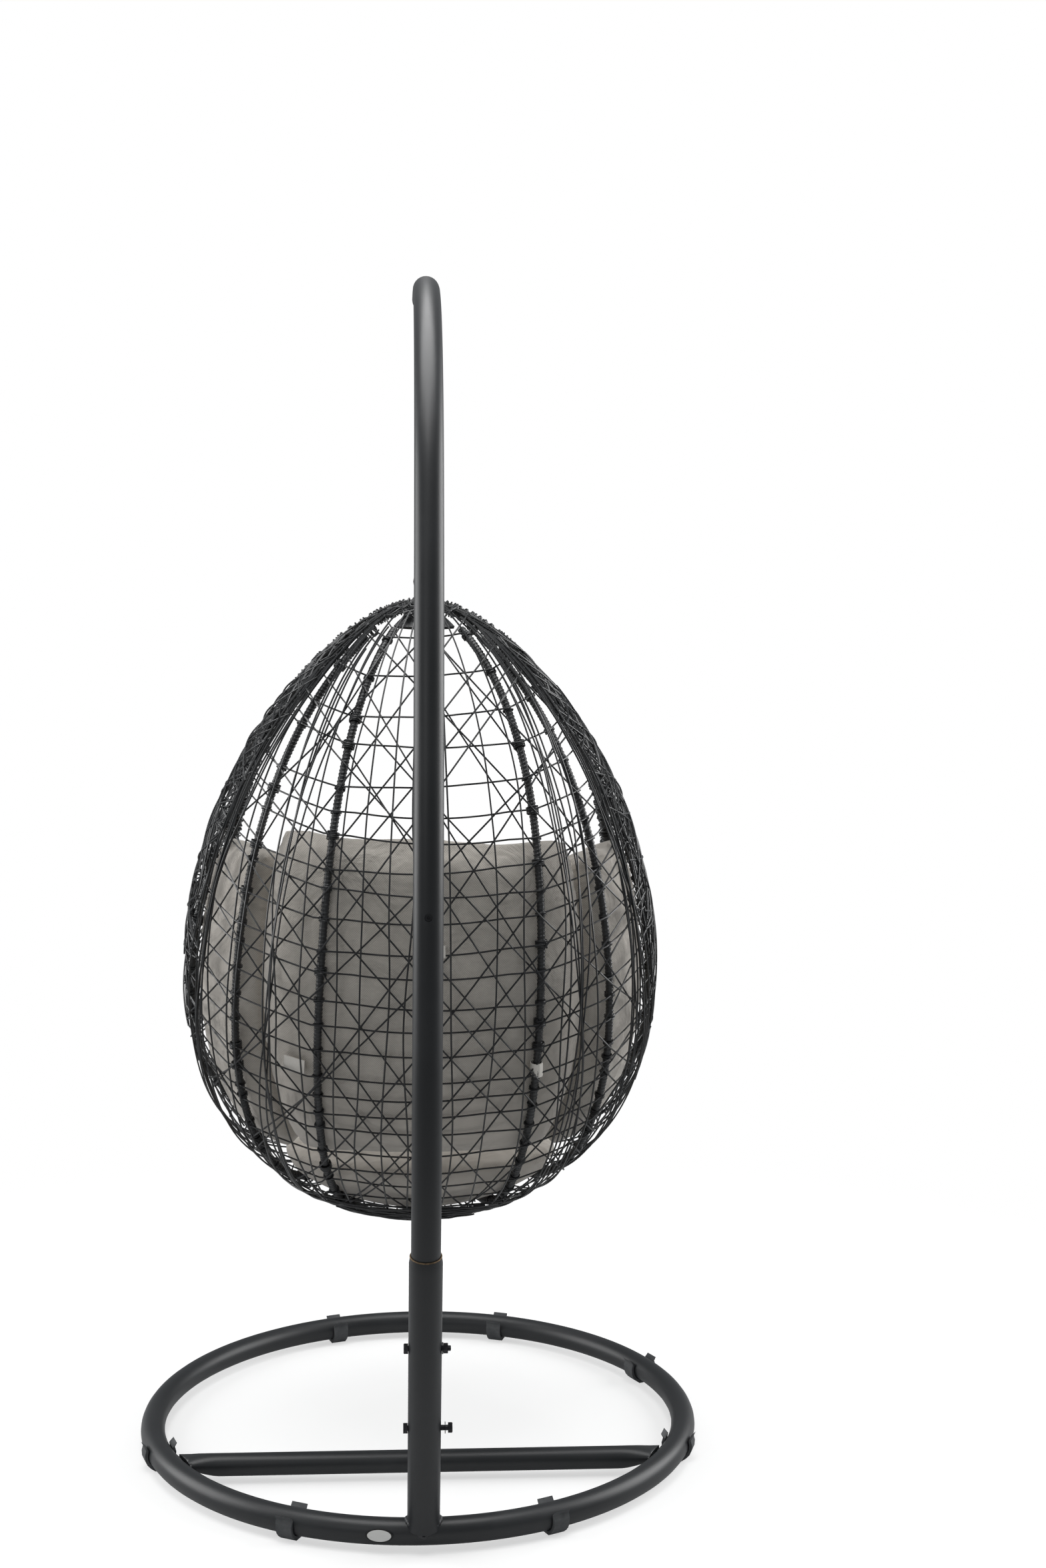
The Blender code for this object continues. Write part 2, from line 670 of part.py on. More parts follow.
def shell_point(turn, side, offset=0.0):
    """A point of the egg: turn runs 0 at the crown to 180 at the lip, side -90 to 90 across the back."""
    middle, along, back = rim_frame()
    turn = math.radians(turn)
    side = math.radians(side)
    sideways = Vector((1, 0, 0)) * math.sin(side) + back * math.cos(side)
    ray = along * math.cos(turn) + sideways * math.sin(turn)
    near = 0.0
    far = 1.2
    for _ in range(26):
        half = (near + far) / 2
        if inside_egg(middle + ray * half):
            near = half
        else:
            far = half
    surface = middle + ray * near
    if offset:
        surface = surface + egg_normal(surface) * offset
    return surface


def egg_normal(point):
    """Outward direction of the egg at a point of its surface."""
    step = 0.002
    width = max(egg_half_width(point.z), 0.004)
    across = point.x / width ** 2
    deep = (point.y - egg_middle(point.z)) / (width * BASKET_DEPTH) ** 2
    above = egg_half_width(min(point.z + step, BASKET_TOP))
    below = egg_half_width(max(point.z - step, BASKET_BOTTOM))
    slope = (above - below) / (2 * step)
    slope = max(-12, min(12, slope))
    rise = -slope / width
    return Vector((across, deep, rise)).normalized()


def side_limit(turn, room):
    """The largest side angle that keeps a distance from the rim hoop."""
    middle, along, back = rim_frame()
    edge = shell_point(turn, 90)
    reach = max((edge - middle).cross(along).length, 0.001)
    return 90 - math.degrees(min(room / reach, 1.2))


def rib_side(rib, turn):
    """A rib's side angle at a turn: spread out at the crown and closing in on the way down."""
    low, extra, fade = rib
    left = max(0, FAN_END - turn) / (FAN_END - FAN_START)
    return low + extra * left ** fade


def build_frame():
    finish = wicker()
    steps = 30
    hoop = [shell_point(180 * step / steps, 90) for step in range(steps + 1)]
    hoop += [shell_point(180 - 180 * step / steps, -90) for step in range(1, steps)]
    for _ in range(2):
        hoop = [(hoop[index - 1] + hoop[index] * 2 + hoop[(index + 1) % len(hoop)]) / 4
                for index in range(len(hoop))]
    middle, along, back = rim_frame()
    tube("rim_hoop", hoop, HOOP_TUBE, 8, finish, closed=True, up=back)
    for side, hand in ((1, "left"), (-1, "right")):
        for number, rib in enumerate(RIBS[hand], 1):
            start = RIB_END + RIB_STAGGER * number
            points = []
            for step in range(27):
                turn = start + (180 - 2 * start) * step / 26
                points.append(shell_point(turn, side * rib_side(rib, turn), -RIB_TUBE))
            tube(f"rib_{hand}_{number}", points, RIB_TUBE, 7, finish)


def add_patch(bm, turns, sides, rows, columns, offset):
    """A patch of the egg between two turns and two side angles, moved off its surface."""
    grid = []
    for row in range(rows + 1):
        turn = turns[0] + (turns[1] - turns[0]) * row / rows
        line = []
        for column in range(columns + 1):
            side = sides[0] + (sides[1] - sides[0]) * column / columns
            line.append(bm.verts.new(shell_point(turn, side, offset)))
        grid.append(line)
    fill_grid(bm, grid)


def fill_grid(bm, grid):
    for low, high in zip(grid, grid[1:]):
        for column in range(len(low) - 1):
            bm.faces.new((low[column], low[column + 1], high[column + 1], high[column]))


def build_joint_plates():
    """Curved gussets under the crown and behind the lip, which tie the hoop to the ribs."""
    for name, turns in (("crown_gusset", (6.5, 11.3)), ("lip_gusset", (168.7, 173.5))):
        bm = bmesh.new()
        add_patch(bm, turns, (-GUSSET_ANGLE, GUSSET_ANGLE), 3, 8, -GUSSET_INSET)
        thicken(add_mesh(name, bm, powder_coat()), GUSSET_THICKNESS)


def thicken(piece, thickness):
    change = piece.modifiers.new("thickness", "SOLIDIFY")
    change.thickness = thickness
    change.offset = 0
    change.use_even_offset = True


def build_weave():
    """Three woven skins just outside the ribs: left, back and right."""
    clearance = WEAVE_CLEARANCE - RIB_TUBE + WEAVE / 2
    for name, hand, rows, columns in (("weave_left", 1, 18, 6), ("weave_back", 0, 18, 8),
                                      ("weave_right", -1, 18, 6)):
        bm = bmesh.new()
        grid = []
        for row in range(rows + 1):
            turn = 15 + 150 * row / rows
            limit = side_limit(turn, HOOP_TUBE + 0.010)
            split = min(WEAVE_SPLIT, limit - 6)
            low, high = (-split + 0.3, split - 0.3)
            if hand:
                low, high = sorted((hand * (split + 0.3), hand * limit))
            line = []
            for column in range(columns + 1):
                side = low + (high - low) * column / columns
                line.append(bm.verts.new(shell_point(turn, side, clearance)))
            grid.append(line)
        fill_grid(bm, grid)
        thicken(add_mesh(name, bm, wicker()), WEAVE)


def build_straps():
    """A fabric loop round the middle right rib, and two flat tabs tied in between the ribs."""
    side = -rib_side(RIBS["right"][0], STRAP_TURN)
    low = shell_point(STRAP_TURN - 1, side, -RIB_TUBE)
    high = shell_point(STRAP_TURN + 1, side, -RIB_TUBE)
    middle = (low + high) / 2
    reach = (high - low).normalized() * STRAP_HEIGHT / 2
    bm = bmesh.new()
    add_pipe(bm, [middle - reach, middle + reach], STRAP_OUTER, STRAP_INNER, 14)
    add_mesh("tie_strap_right", bm, fabric())
    for name, (turns, sides) in TABS.items():
        bm = bmesh.new()
        add_patch(bm, turns, sides, 3, 4, -RIB_TUBE)
        thicken(add_mesh(f"tie_tab_{name}", bm, fabric()), TAB_THICKNESS)


def pad_point(angle, height, inset):
    """A point inside the egg at a plan angle from the back, an inset in from its surface."""
    width = egg_half_width(height)
    turn = math.radians(angle)
    depth = egg_middle(height) + width * BASKET_DEPTH * math.cos(turn)
    surface = Vector((width * math.sin(turn), depth, height))
    return surface - egg_normal(surface) * inset


def build_pad(name, angles, heights, columns, rows, corner):
    """A closed pad that follows the inside of the egg, with rounded corners."""
    inset = RIB_TUBE + CUSHION_CLEARANCE
    first, last = angles
    low, high = heights
    bm = bmesh.new()
    layers = []
    for depth in (inset, inset + BACK_THICKNESS):
        layer = []
        for row in range(rows + 1):
            up = 2 * row / rows - 1
            line = []
            for column in range(columns + 1):
                over = 2 * column / columns - 1
                pull = 1 - corner * up ** 4 * over ** 2
                across = (first + last) / 2 + (last - first) / 2 * over * pull
                height = (low + high) / 2 + (high - low) / 2 * up * (1 - corner * over ** 4 * up ** 2)
                line.append(bm.verts.new(pad_point(across, height, depth)))
            layer.append(line)
        layers.append(layer)
    outer, inner = layers
    for layer in layers:
        fill_grid(bm, layer)
    for row in range(rows):
        for column in (0, columns):
            below = row + 1
            bm.faces.new((outer[row][column], outer[below][column], inner[below][column], inner[row][column]))
    for column in range(columns):
        for row in (0, rows):
            after = column + 1
            bm.faces.new((outer[row][column], outer[row][after], inner[row][after], inner[row][column]))
    add_mesh(name, bm, fabric())


def build_seat():
    """A round pad that fills the bottom of the egg and stops behind the rim hoop."""
    inset = 2 * RIB_TUBE + CUSHION_CLEARANCE
    sides = 28
    bm = bmesh.new()
    rings = []
    for height, shrink in SEAT_RINGS:
        ring = []
        for step in range(sides):
            spot = pad_point(360 * step / sides, height, inset)
            ring.append(bm.verts.new((spot.x * shrink, spot.y, spot.z)))
        rings.append(ring)
    lowest = sum(vert.co.z for vert in rings[0]) / sides
    for vert in rings[0]:
        vert.co.z = lowest
    top = []
    for vert in rings[-1]:
        middle = Vector((0, egg_middle(SEAT_TOP), SEAT_TOP))
        spot = middle + (vert.co - middle) * SEAT_EDGE
        top.append(bm.verts.new((spot.x, spot.y, SEAT_TOP)))
    rings.append(top)
    join_rings(bm, rings)
    add_mesh("seat_cushion", bm, fabric())


def build_cushions():
    inner, outer = BOLSTER_ANGLES
    build_pad("back_cushion", (-BACK_ANGLE, BACK_ANGLE), BACK_HEIGHTS, 12, 9, 0.10)
    build_pad("side_bolster_left", (inner, outer), BOLSTER_HEIGHTS, 6, 8, 0.14)
    build_pad("side_bolster_right", (-outer, -inner), BOLSTER_HEIGHTS, 6, 8, 0.14)
    build_seat()


BODIES = {
    "stand": ("base_", "foot_clip", "blank_badge", "main_post", "post_", "arm_", "socket_"),
    "link": ("upper_",),
    "swivel": ("swivel_housing",),
    "spindle": ("swivel_spindle", "spring_top", "extension_spring"),
    "basket": ("",),
}


def group_bodies(pivots):
    """Parents each solid to an empty on its body's joint axis, and centres the box over the origin."""
    solids = [item for item in bpy.data.objects if item.type == "MESH" and not item.hide_render]
    loose = [item for item in bpy.data.objects if item.type == "MESH" and item.hide_render]
    bpy.context.view_layer.update()
    depths = [(item.matrix_world @ Vector(corner)).y for item in solids for corner in item.bound_box]
    shift = Vector((0, -(min(depths) + max(depths)) / 2, 0))
    taken = set()
    for body, starts in BODIES.items():
        pivot = bpy.data.objects.new(f"{body}_pivot", None)
        pivot.empty_display_size = 0.03
        pivot.location = pivots[body]
        bpy.context.scene.collection.objects.link(pivot)
        for item in solids:
            if item.name not in taken and item.name.startswith(starts):
                taken.add(item.name)
                item.parent = pivot
                item.matrix_parent_inverse = Matrix.Translation(-pivots[body])
        pivot.location += shift
    for item in loose:
        item.location += shift
    print(f"shift_y {shift.y:.5f}")


def main():
    clear_scene()
    build_base()
    build_post()
    build_bolts()
    pivots = build_hanger()
    build_frame()
    build_joint_plates()
    build_weave()
    build_straps()
    build_cushions()
    group_bodies(pivots)


main()
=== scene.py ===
import json
import math
import random

import bmesh
import bpy
from mathutils import Matrix, Vector


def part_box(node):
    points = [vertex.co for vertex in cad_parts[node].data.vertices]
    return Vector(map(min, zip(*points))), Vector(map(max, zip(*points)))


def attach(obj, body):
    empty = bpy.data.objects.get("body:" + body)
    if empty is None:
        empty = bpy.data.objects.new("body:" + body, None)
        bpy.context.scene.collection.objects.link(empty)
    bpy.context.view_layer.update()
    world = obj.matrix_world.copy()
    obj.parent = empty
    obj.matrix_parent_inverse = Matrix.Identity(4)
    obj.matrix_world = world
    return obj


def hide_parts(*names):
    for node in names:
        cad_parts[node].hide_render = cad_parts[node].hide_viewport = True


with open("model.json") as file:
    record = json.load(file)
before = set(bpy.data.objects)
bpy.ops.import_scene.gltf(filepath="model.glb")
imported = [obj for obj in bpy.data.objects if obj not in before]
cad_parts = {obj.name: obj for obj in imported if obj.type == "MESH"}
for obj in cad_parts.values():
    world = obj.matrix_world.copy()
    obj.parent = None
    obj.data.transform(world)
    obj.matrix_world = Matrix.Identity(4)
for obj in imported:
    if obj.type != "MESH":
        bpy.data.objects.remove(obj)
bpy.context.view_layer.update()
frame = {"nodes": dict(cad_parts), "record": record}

joints = {joint["name"]: joint for joint in frame["record"]["behaviour"]["joints"]}
hangY = joints["fore_aft_swing"]["pos_m"][1]

print("frame loaded")


class Wire:
    # one socket of a node tree, with arithmetic
    def __init__(self, tree, socket):
        self.tree = tree
        self.socket = socket

    def maths(self, operation, *others):
        node = self.tree.nodes.new("ShaderNodeMath")
        node.operation = operation
        for index, value in enumerate((self, *others)):
            if isinstance(value, Wire):
                self.tree.links.new(value.socket, node.inputs[index])
            else:
                node.inputs[index].default_value = value
        return Wire(self.tree, node.outputs[0])

    def __add__(self, other):
        return self.maths("ADD", other)

    def __radd__(self, other):
        return self.maths("ADD", other)

    def __sub__(self, other):
        return self.maths("SUBTRACT", other)

    def __rsub__(self, other):
        return (self * -1) + other

    def __mul__(self, other):
        return self.maths("MULTIPLY", other)

    def __rmul__(self, other):
        return self.maths("MULTIPLY", other)

    def __truediv__(self, other):
        return self.maths("DIVIDE", other)

    def __pow__(self, other):
        return self.maths("POWER", other)

    def sine(self):
        return self.maths("SINE")

    def clamp(self):
        return self.maths("MAXIMUM", 0).maths("MINIMUM", 1)


class Finish:
    # a material under construction
    def __init__(self, name):
        self.material = bpy.data.materials.new(name)
        self.material.use_nodes = True
        self.tree = self.material.node_tree
        self.shader = self.tree.nodes["Principled BSDF"]

    def make(self, kind, settings=None, sockets=None, out=0):
        node = self.tree.nodes.new(kind)
        for key, value in (settings or {}).items():
            if key == "stops":
                ramp = node.color_ramp
                while len(ramp.elements) > len(value):
                    ramp.elements.remove(ramp.elements[-1])
                while len(ramp.elements) < len(value):
                    ramp.elements.new(0.5)
                for element, (place, color) in zip(ramp.elements, value):
                    element.position = place
                    element.color = color
            else:
                setattr(node, key, value)
        for key, value in (sockets or {}).items():
            socket = node.inputs[key]
            if isinstance(value, Wire):
                self.tree.links.new(value.socket, socket)
            else:
                socket.default_value = value
        return Wire(self.tree, node.outputs[out])

    def place(self, scale=(1, 1, 1)):
        where = self.make("ShaderNodeTexCoord", out="Object")
        return self.make("ShaderNodeMapping", sockets={"Vector": where, "Scale": scale})

    def noise(self, scale, detail=2.0, roughness=0.5, vector=None, distortion=0.0):
        sockets = {"Scale": scale, "Detail": detail, "Roughness": roughness, "Distortion": distortion}
        sockets["Vector"] = vector or self.place()
        return self.make("ShaderNodeTexNoise", sockets=sockets, out="Fac")

    def mixColor(self, share, first, second, blend="MIX"):
        # sockets 6 and 7 are the two colours, output 2 the mixed one
        colors = [value if isinstance(value, Wire) else (*value, 1) for value in (first, second)]
        return self.make("ShaderNodeMix", {"data_type": "RGBA", "blend_type": blend},
                         {0: share, 6: colors[0], 7: colors[1]}, out=2)

    def spread(self, value, low, high):
        return self.make("ShaderNodeMapRange", sockets={"Value": value, "From Min": low, "From Max": high})

    def split(self, vector):
        first = self.make("ShaderNodeSeparateXYZ", sockets={0: vector})
        return [Wire(self.tree, output) for output in first.socket.node.outputs]

    def bump(self, height, strength, distance, normal=None):
        sockets = {"Height": height, "Strength": strength, "Distance": distance}
        if normal:
            sockets["Normal"] = normal
        return self.make("ShaderNodeBump", sockets=sockets)

    def put(self, name, value):
        socket = self.shader.inputs[name]
        if isinstance(value, Wire):
            self.tree.links.new(value.socket, socket)
        elif isinstance(value, tuple):
            socket.default_value = (*value, 1)
        else:
            socket.default_value = value
        return self


def powderCoat():
    look = dict(base=(0.0075, 0.0088, 0.0105), dusty=(0.026, 0.028, 0.031), rough=0.34)
    finish = Finish("charcoalPowderCoat")
    patches = finish.noise(7, 4, 0.6)
    specks = finish.noise(260, 2, 0.5)
    dust = finish.spread(patches, 0.52, 0.78) * 0.35
    finish.put("Base Color", finish.mixColor(dust + specks * 0.12, look["base"], look["dusty"]))
    finish.put("Roughness", look["rough"] + patches * 0.14 + specks * 0.06)
    peel = finish.noise(620, 2, 0.6)
    finish.put("Normal", finish.bump(peel, 0.16, 0.0006))
    finish.put("Coat Weight", 0.12)
    finish.put("Coat Roughness", 0.35)
    return finish.material


def zincPlate(name="zincPlate", tint=(0.56, 0.55, 0.52), dark=(0.30, 0.28, 0.25)):
    finish = Finish(name)
    blotch = finish.noise(140, 4, 0.65)
    finish.put("Base Color", finish.mixColor(finish.spread(blotch, 0.4, 0.75), tint, dark))
    finish.put("Metallic", 1.0)
    finish.put("Roughness", 0.28 + blotch * 0.28)
    finish.put("Normal", finish.bump(finish.noise(900, 2), 0.15, 0.0003))
    return finish.material


def clipRubber():
    finish = Finish("clipRubber")
    grain = finish.noise(420, 3, 0.6)
    wear = finish.noise(30, 3, 0.6)
    worn = finish.spread(wear, 0.35, 0.75)
    finish.put("Base Color", finish.mixColor(worn, (0.040, 0.043, 0.047), (0.085, 0.088, 0.090)))
    finish.put("Roughness", 0.62 + grain * 0.2)
    finish.put("Normal", finish.bump(grain, 0.25, 0.0005))
    return finish.material


def rattan(name, ridge, base=(0.0060, 0.0066, 0.0074), pale=(0.022, 0.024, 0.027)):
    # ridge: how strong the unevenness of the extruded strand is
    finish = Finish(name)
    drift = finish.noise(55, 3, 0.6)
    fine = finish.noise(1400, 2, 0.6)
    finish.put("Base Color", finish.mixColor(finish.spread(drift, 0.35, 0.8) * 0.6 + fine * 0.1, base, pale))
    finish.put("Roughness", 0.27 + drift * 0.22)
    finish.put("Normal", finish.bump(fine + drift * 0.5, ridge, 0.0004))
    finish.put("Specular IOR Level", 0.6)
    return finish.material


def wovenFabric():
    # plain weave of thick slubby yarn, laid by the side each face looks to
    look = dict(yarn=0.0018, light=(0.66, 0.62, 0.565), dark=(0.30, 0.275, 0.245))
    finish = Finish("slubFabric")
    where = finish.place()
    x, y, z = finish.split(where)
    wobble = finish.noise(26, 2, 0.5) * 0.006
    turn = math.tau / (2 * look["yarn"])
    facing = finish.make("ShaderNodeNewGeometry", out="Normal")
    nx, _, nz = finish.split(facing)
    sideways = finish.spread(nx.maths("ABSOLUTE"), 0.60, 0.78)
    upward = finish.spread(nz.maths("ABSOLUTE"), 0.66, 0.80)
    first = (x + wobble) * turn
    second = (z + wobble) * turn
    depth = (y + wobble) * turn

    def weave(one, other):
        return (one.sine() * other.sine()) * 0.5 + 0.5

    front = weave(first, second)
    side = weave(depth, second)
    top = weave(first, depth)
    pattern = front * (1 - sideways) + side * sideways
    pattern = pattern * (1 - upward) + top * upward
    slub = finish.noise(240, 3, 0.7, finish.place((0.35, 0.35, 1)))
    cloud = finish.noise(9, 3, 0.6)
    fuzz = finish.noise(1500, 2, 0.6)
    shade = (pattern * 0.55 + slub * 0.55 + fuzz * 0.15).clamp()
    color = finish.mixColor(shade, look["dark"], look["light"])
    warm = finish.mixColor(cloud * 0.35, (1, 1, 1), (0.90, 0.87, 0.83))
    finish.put("Base Color", finish.mixColor(1.0, color, warm, "MULTIPLY"))
    finish.put("Roughness", 0.86 + slub * 0.1)
    finish.put("Sheen Weight", 0.25)
    finish.put("Sheen Roughness", 0.5)
    folds = finish.bump(finish.noise(11, 3, 0.55, distortion=1.2), 0.55, 0.022)
    finish.put("Normal", finish.bump(pattern + slub * 0.8, 0.6, 0.0007, folds))
    return finish.material


def tieFabric():
    # plain pale tape of the ties
    finish = Finish("tieFabric")
    thread = finish.noise(700, 2, 0.6)
    finish.put("Base Color", finish.mixColor(thread, (0.62, 0.59, 0.54), (0.78, 0.75, 0.70)))
    finish.put("Roughness", 0.8 + thread * 0.1)
    finish.put("Normal", finish.bump(thread, 0.5, 0.0004))
    return finish.material


def badgeFace():
    # blank oval: pale satin middle, black border
    look = dict(turn=8.0, wide=0.021, high=0.0105, lift=0.028)
    finish = Finish("badgeFace")
    x, y, z = finish.split(finish.place())
    angle = math.radians(look["turn"])
    along = (x * math.cos(angle) - (y - hangY) * math.sin(angle)) / look["wide"]
    upward = (z - look["lift"]) / look["high"]
    reach = (along * along + upward * upward) ** 0.5
    border = finish.spread(reach, 0.84, 0.88)
    brushed = finish.noise(300, 2, 0.5, finish.place((0.2, 0.2, 6)))
    face = finish.mixColor(brushed, (0.62, 0.62, 0.60), (0.78, 0.78, 0.76))
    finish.put("Base Color", finish.mixColor(border, face, (0.02, 0.02, 0.02)))
    finish.put("Roughness", 0.35 + brushed * 0.15)
    finish.put("Metallic", 0.55)
    return finish.material


def blackPlastic():
    finish = Finish("blackPlastic")
    grain = finish.noise(500, 2)
    finish.put("Base Color", finish.mixColor(grain, (0.014, 0.014, 0.015), (0.03, 0.03, 0.032)))
    finish.put("Roughness", 0.42 + grain * 0.15)
    finish.put("Normal", finish.bump(grain, 0.15, 0.0004))
    return finish.material


def weldBead():
    finish = Finish("weldBead")
    ripple = finish.noise(180, 3, 0.6)
    finish.put("Base Color", finish.mixColor(ripple, (0.018, 0.020, 0.023), (0.045, 0.046, 0.048)))
    finish.put("Roughness", 0.40 + ripple * 0.2)
    finish.put("Normal", finish.bump(ripple, 0.6, 0.0012))
    return finish.material


def wornEdge():
    finish = Finish("wornEdge")
    rust = finish.noise(160, 4, 0.7)
    rusty = finish.spread(rust, 0.35, 0.7)
    finish.put("Base Color", finish.mixColor(rusty, (0.20, 0.14, 0.08), (0.08, 0.055, 0.035)))
    finish.put("Metallic", 0.7)
    finish.put("Roughness", 0.45 + rust * 0.3)
    return finish.material


coat = powderCoat()
zinc = zincPlate()
springWire = zincPlate("springWire", (0.42, 0.42, 0.42), (0.22, 0.22, 0.22))
plated = zincPlate("blackPlated", (0.045, 0.045, 0.048), (0.02, 0.02, 0.022))
rubber = clipRubber()
strandLook = rattan("rattanStrand", 0.35)
bindingLook = rattan("rattanBinding", 0.30, (0.009, 0.0095, 0.010), (0.032, 0.034, 0.037))
cloth = wovenFabric()
tie = tieFabric()
plastic = blackPlastic()
weld = weldBead()
worn = wornEdge()
badge = badgeFace()
print("finishes made")


def addPiece(name, mesh, look, body, nodes=()):
    piece = bpy.data.objects.new(name, mesh)
    bpy.context.scene.collection.objects.link(piece)
    mesh.materials.clear()
    mesh.materials.append(look)
    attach(piece, body)
    if nodes:
        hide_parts(*nodes)
    return piece


def meshOf(bm, name, sharp=40, normals=True):
    if normals:
        bmesh.ops.recalc_face_normals(bm, faces=bm.faces)
    mesh = bpy.data.meshes.new(name)
    bm.to_mesh(mesh)
    bm.free()
    mesh.shade_smooth()
    mesh.set_sharp_from_angle(angle=math.radians(sharp))
    return mesh


def sweep(name, runs, thick, sides=2, closed=False, caps=True):
    # tubes along lists of points; a run is points, or (points, radii)
    path = bpy.data.curves.new(name, "CURVE")
    path.dimensions = "3D"
    path.bevel_depth = thick
    path.bevel_resolution = sides
    path.use_fill_caps = caps
    path.twist_mode = "MINIMUM"
    for run in runs:
        points, radii = run if isinstance(run, tuple) else (run, None)
        spline = path.splines.new("POLY")
        spline.points.add(len(points) - 1)
        for index, point in enumerate(points):
            spline.points[index].co = (*point, 1)
            spline.points[index].radius = radii[index] if radii else 1
        spline.use_cyclic_u = closed
    holder = bpy.data.objects.new(name + "Path", path)
    mesh = bpy.data.meshes.new_from_object(holder)
    bpy.data.objects.remove(holder)
    bpy.data.curves.remove(path)
    mesh.name = name
    mesh.shade_smooth()
    mesh.set_sharp_from_angle(angle=math.radians(50))
    return mesh


def smoothRun(points, step, closed=False):
    # a dense run of points through the given ones, by cubic spans
    count = len(points)
    made = []
    last = count if closed else count - 1
    for index in range(last):
        if closed:
            p0, p1, p2, p3 = (points[(index + offset) % count] for offset in (-1, 0, 1, 2))
        else:
            p0 = points[max(index - 1, 0)]
            p1 = points[index]
            p2 = points[index + 1]
            p3 = points[min(index + 2, count - 1)]
        parts = max(1, math.ceil((p2 - p1).length / step))
        for part in range(parts):
            t = part / parts
            made.append(0.5 * ((2 * p1) + (p2 - p0) * t + (2 * p0 - 5 * p1 + 4 * p2 - p3) * t * t
                               + (3 * p1 - p0 - 3 * p2 + p3) * t ** 3))
    if not closed:
        made.append(points[-1])
    return made


def evenRun(points, step, closed=False):
    # the same run with points a fixed distance apart
    loop = points + [points[0]] if closed else points
    lengths = [0.0]
    for first, second in zip(loop, loop[1:]):
        lengths.append(lengths[-1] + (second - first).length)
    total = lengths[-1]
    count = max(2, round(total / step))
    made = []
    index = 0
    for number in range(count + (0 if closed else 1)):
        target = total * number / count
        while index < len(loop) - 2 and lengths[index + 1] < target:
            index += 1
        span = max(lengths[index + 1] - lengths[index], 1e-9)
        made.append(loop[index].lerp(loop[index + 1], (target - lengths[index]) / span))
    return made


camera = dict(distance=3.269, height=1.341, azimuth=0.8, yaw=-2.98, pitch=3.86, roll=0.48, lens=44.24)


def makeCamera():
    data = bpy.data.cameras.new("camera")
    data.lens = camera["lens"]
    data.sensor_width = 36
    data.clip_start = 0.05
    data.clip_end = 60
    eye = bpy.data.objects.new("camera", data)
    bpy.context.scene.collection.objects.link(eye)
    turn = Matrix.Rotation(math.radians(-camera["azimuth"]), 3, "Z")
    yaw = math.radians(camera["yaw"])
    pitch = math.radians(camera["pitch"])
    roll = math.radians(camera["roll"])
    ahead = Vector((math.sin(yaw) * math.cos(pitch), -math.cos(yaw) * math.cos(pitch), -math.sin(pitch)))
    right = ahead.cross(Vector((0, 0, 1))).normalized()
    up = right.cross(ahead)
    tiltedRight = right * math.cos(roll) + up * math.sin(roll)
    tiltedUp = up * math.cos(roll) - right * math.sin(roll)
    basis = Matrix((tiltedRight, tiltedUp, -ahead)).transposed()
    spot = turn @ Vector((0, camera["distance"], 0))
    place = Matrix.Translation((spot.x, spot.y + hangY, camera["height"]))
    eye.matrix_world = place @ (turn @ basis).to_4x4()
    bpy.context.scene.camera = eye


def makeStage():
    stage = dict(size=16.0, color=(0.97, 0.97, 0.97), near=0.62, far=1.9, cover=0.42, ambient=0.26)
    bm = bmesh.new()
    bmesh.ops.create_grid(bm, x_segments=1, y_segments=1, size=stage["size"] / 2)
    floor = bpy.data.objects.new("floor", meshOf(bm, "floor", normals=False))
    bpy.context.scene.collection.objects.link(floor)
    finish = Finish("paleFloor")
    x, y, _ = finish.split(finish.place())
    reach = (x * x + y * y) ** 0.5
    finish.put("Base Color", stage["color"])
    finish.put("Roughness", 0.9)
    finish.put("Specular IOR Level", 0.1)
    finish.put("Alpha", (1 - finish.spread(reach, stage["near"], stage["far"])) * stage["cover"])
    floor.data.materials.append(finish.material)
    world = bpy.data.worlds.new("studio")
    world.use_nodes = True
    nodes = world.node_tree.nodes
    links = world.node_tree.links
    ambient = nodes["Background"]
    ambient.inputs["Color"].default_value = (0.95, 0.98, 1, 1)
    ambient.inputs["Strength"].default_value = stage["ambient"]
    backdrop = nodes.new("ShaderNodeBackground")
    backdrop.inputs["Color"].default_value = (1, 1, 1, 1)
    path = nodes.new("ShaderNodeLightPath")
    blend = nodes.new("ShaderNodeMixShader")
    links.new(path.outputs["Is Camera Ray"], blend.inputs[0])
    links.new(ambient.outputs[0], blend.inputs[1])
    links.new(backdrop.outputs[0], blend.inputs[2])
    links.new(blend.outputs[0], nodes["World Output"].inputs["Surface"])
    bpy.context.scene.world = world
    bpy.context.scene.view_settings.view_transform = "Standard"


def addLight(name, spot, target, size, power, tint=(1, 1, 1)):
    data = bpy.data.lights.new(name, "AREA")
    data.shape = "SQUARE"
    data.size = size
    data.energy = power
    data.color = tint
    lamp = bpy.data.objects.new(name, data)
    bpy.context.scene.collection.objects.link(lamp)
    lamp.location = spot
    lamp.rotation_euler = (Vector(target) - Vector(spot)).to_track_quat("-Z", "Y").to_euler()


def lightStudio():
    middle = (0, hangY, 0.9)
    addLight("leftSoftbox", (2.7, -0.5, 1.5), middle, 2.2, 62)
    addLight("rightSoftbox", (-2.7, -0.7, 1.8), middle, 2.2, 78)
    addLight("topSoftbox", (0.2, 0.1, 3.9), (0, hangY, 0), 2.6, 105)
    addLight("cameraFill", (1.6, 3.6, 2.4), middle, 1.6, 10)


makeCamera()
makeStage()
lightStudio()
print("camera, floor and lights set")


stand = dict(ring=0.455, ringTube=0.020, ringHeight=0.026, lean=12, nod=20, post=0.0215, socket=0.0245,
             socketLength=0.461, leanLength=0.485, bow=2.0, top=0.514, arm=0.045, crossY=0.202, cross=0.018)


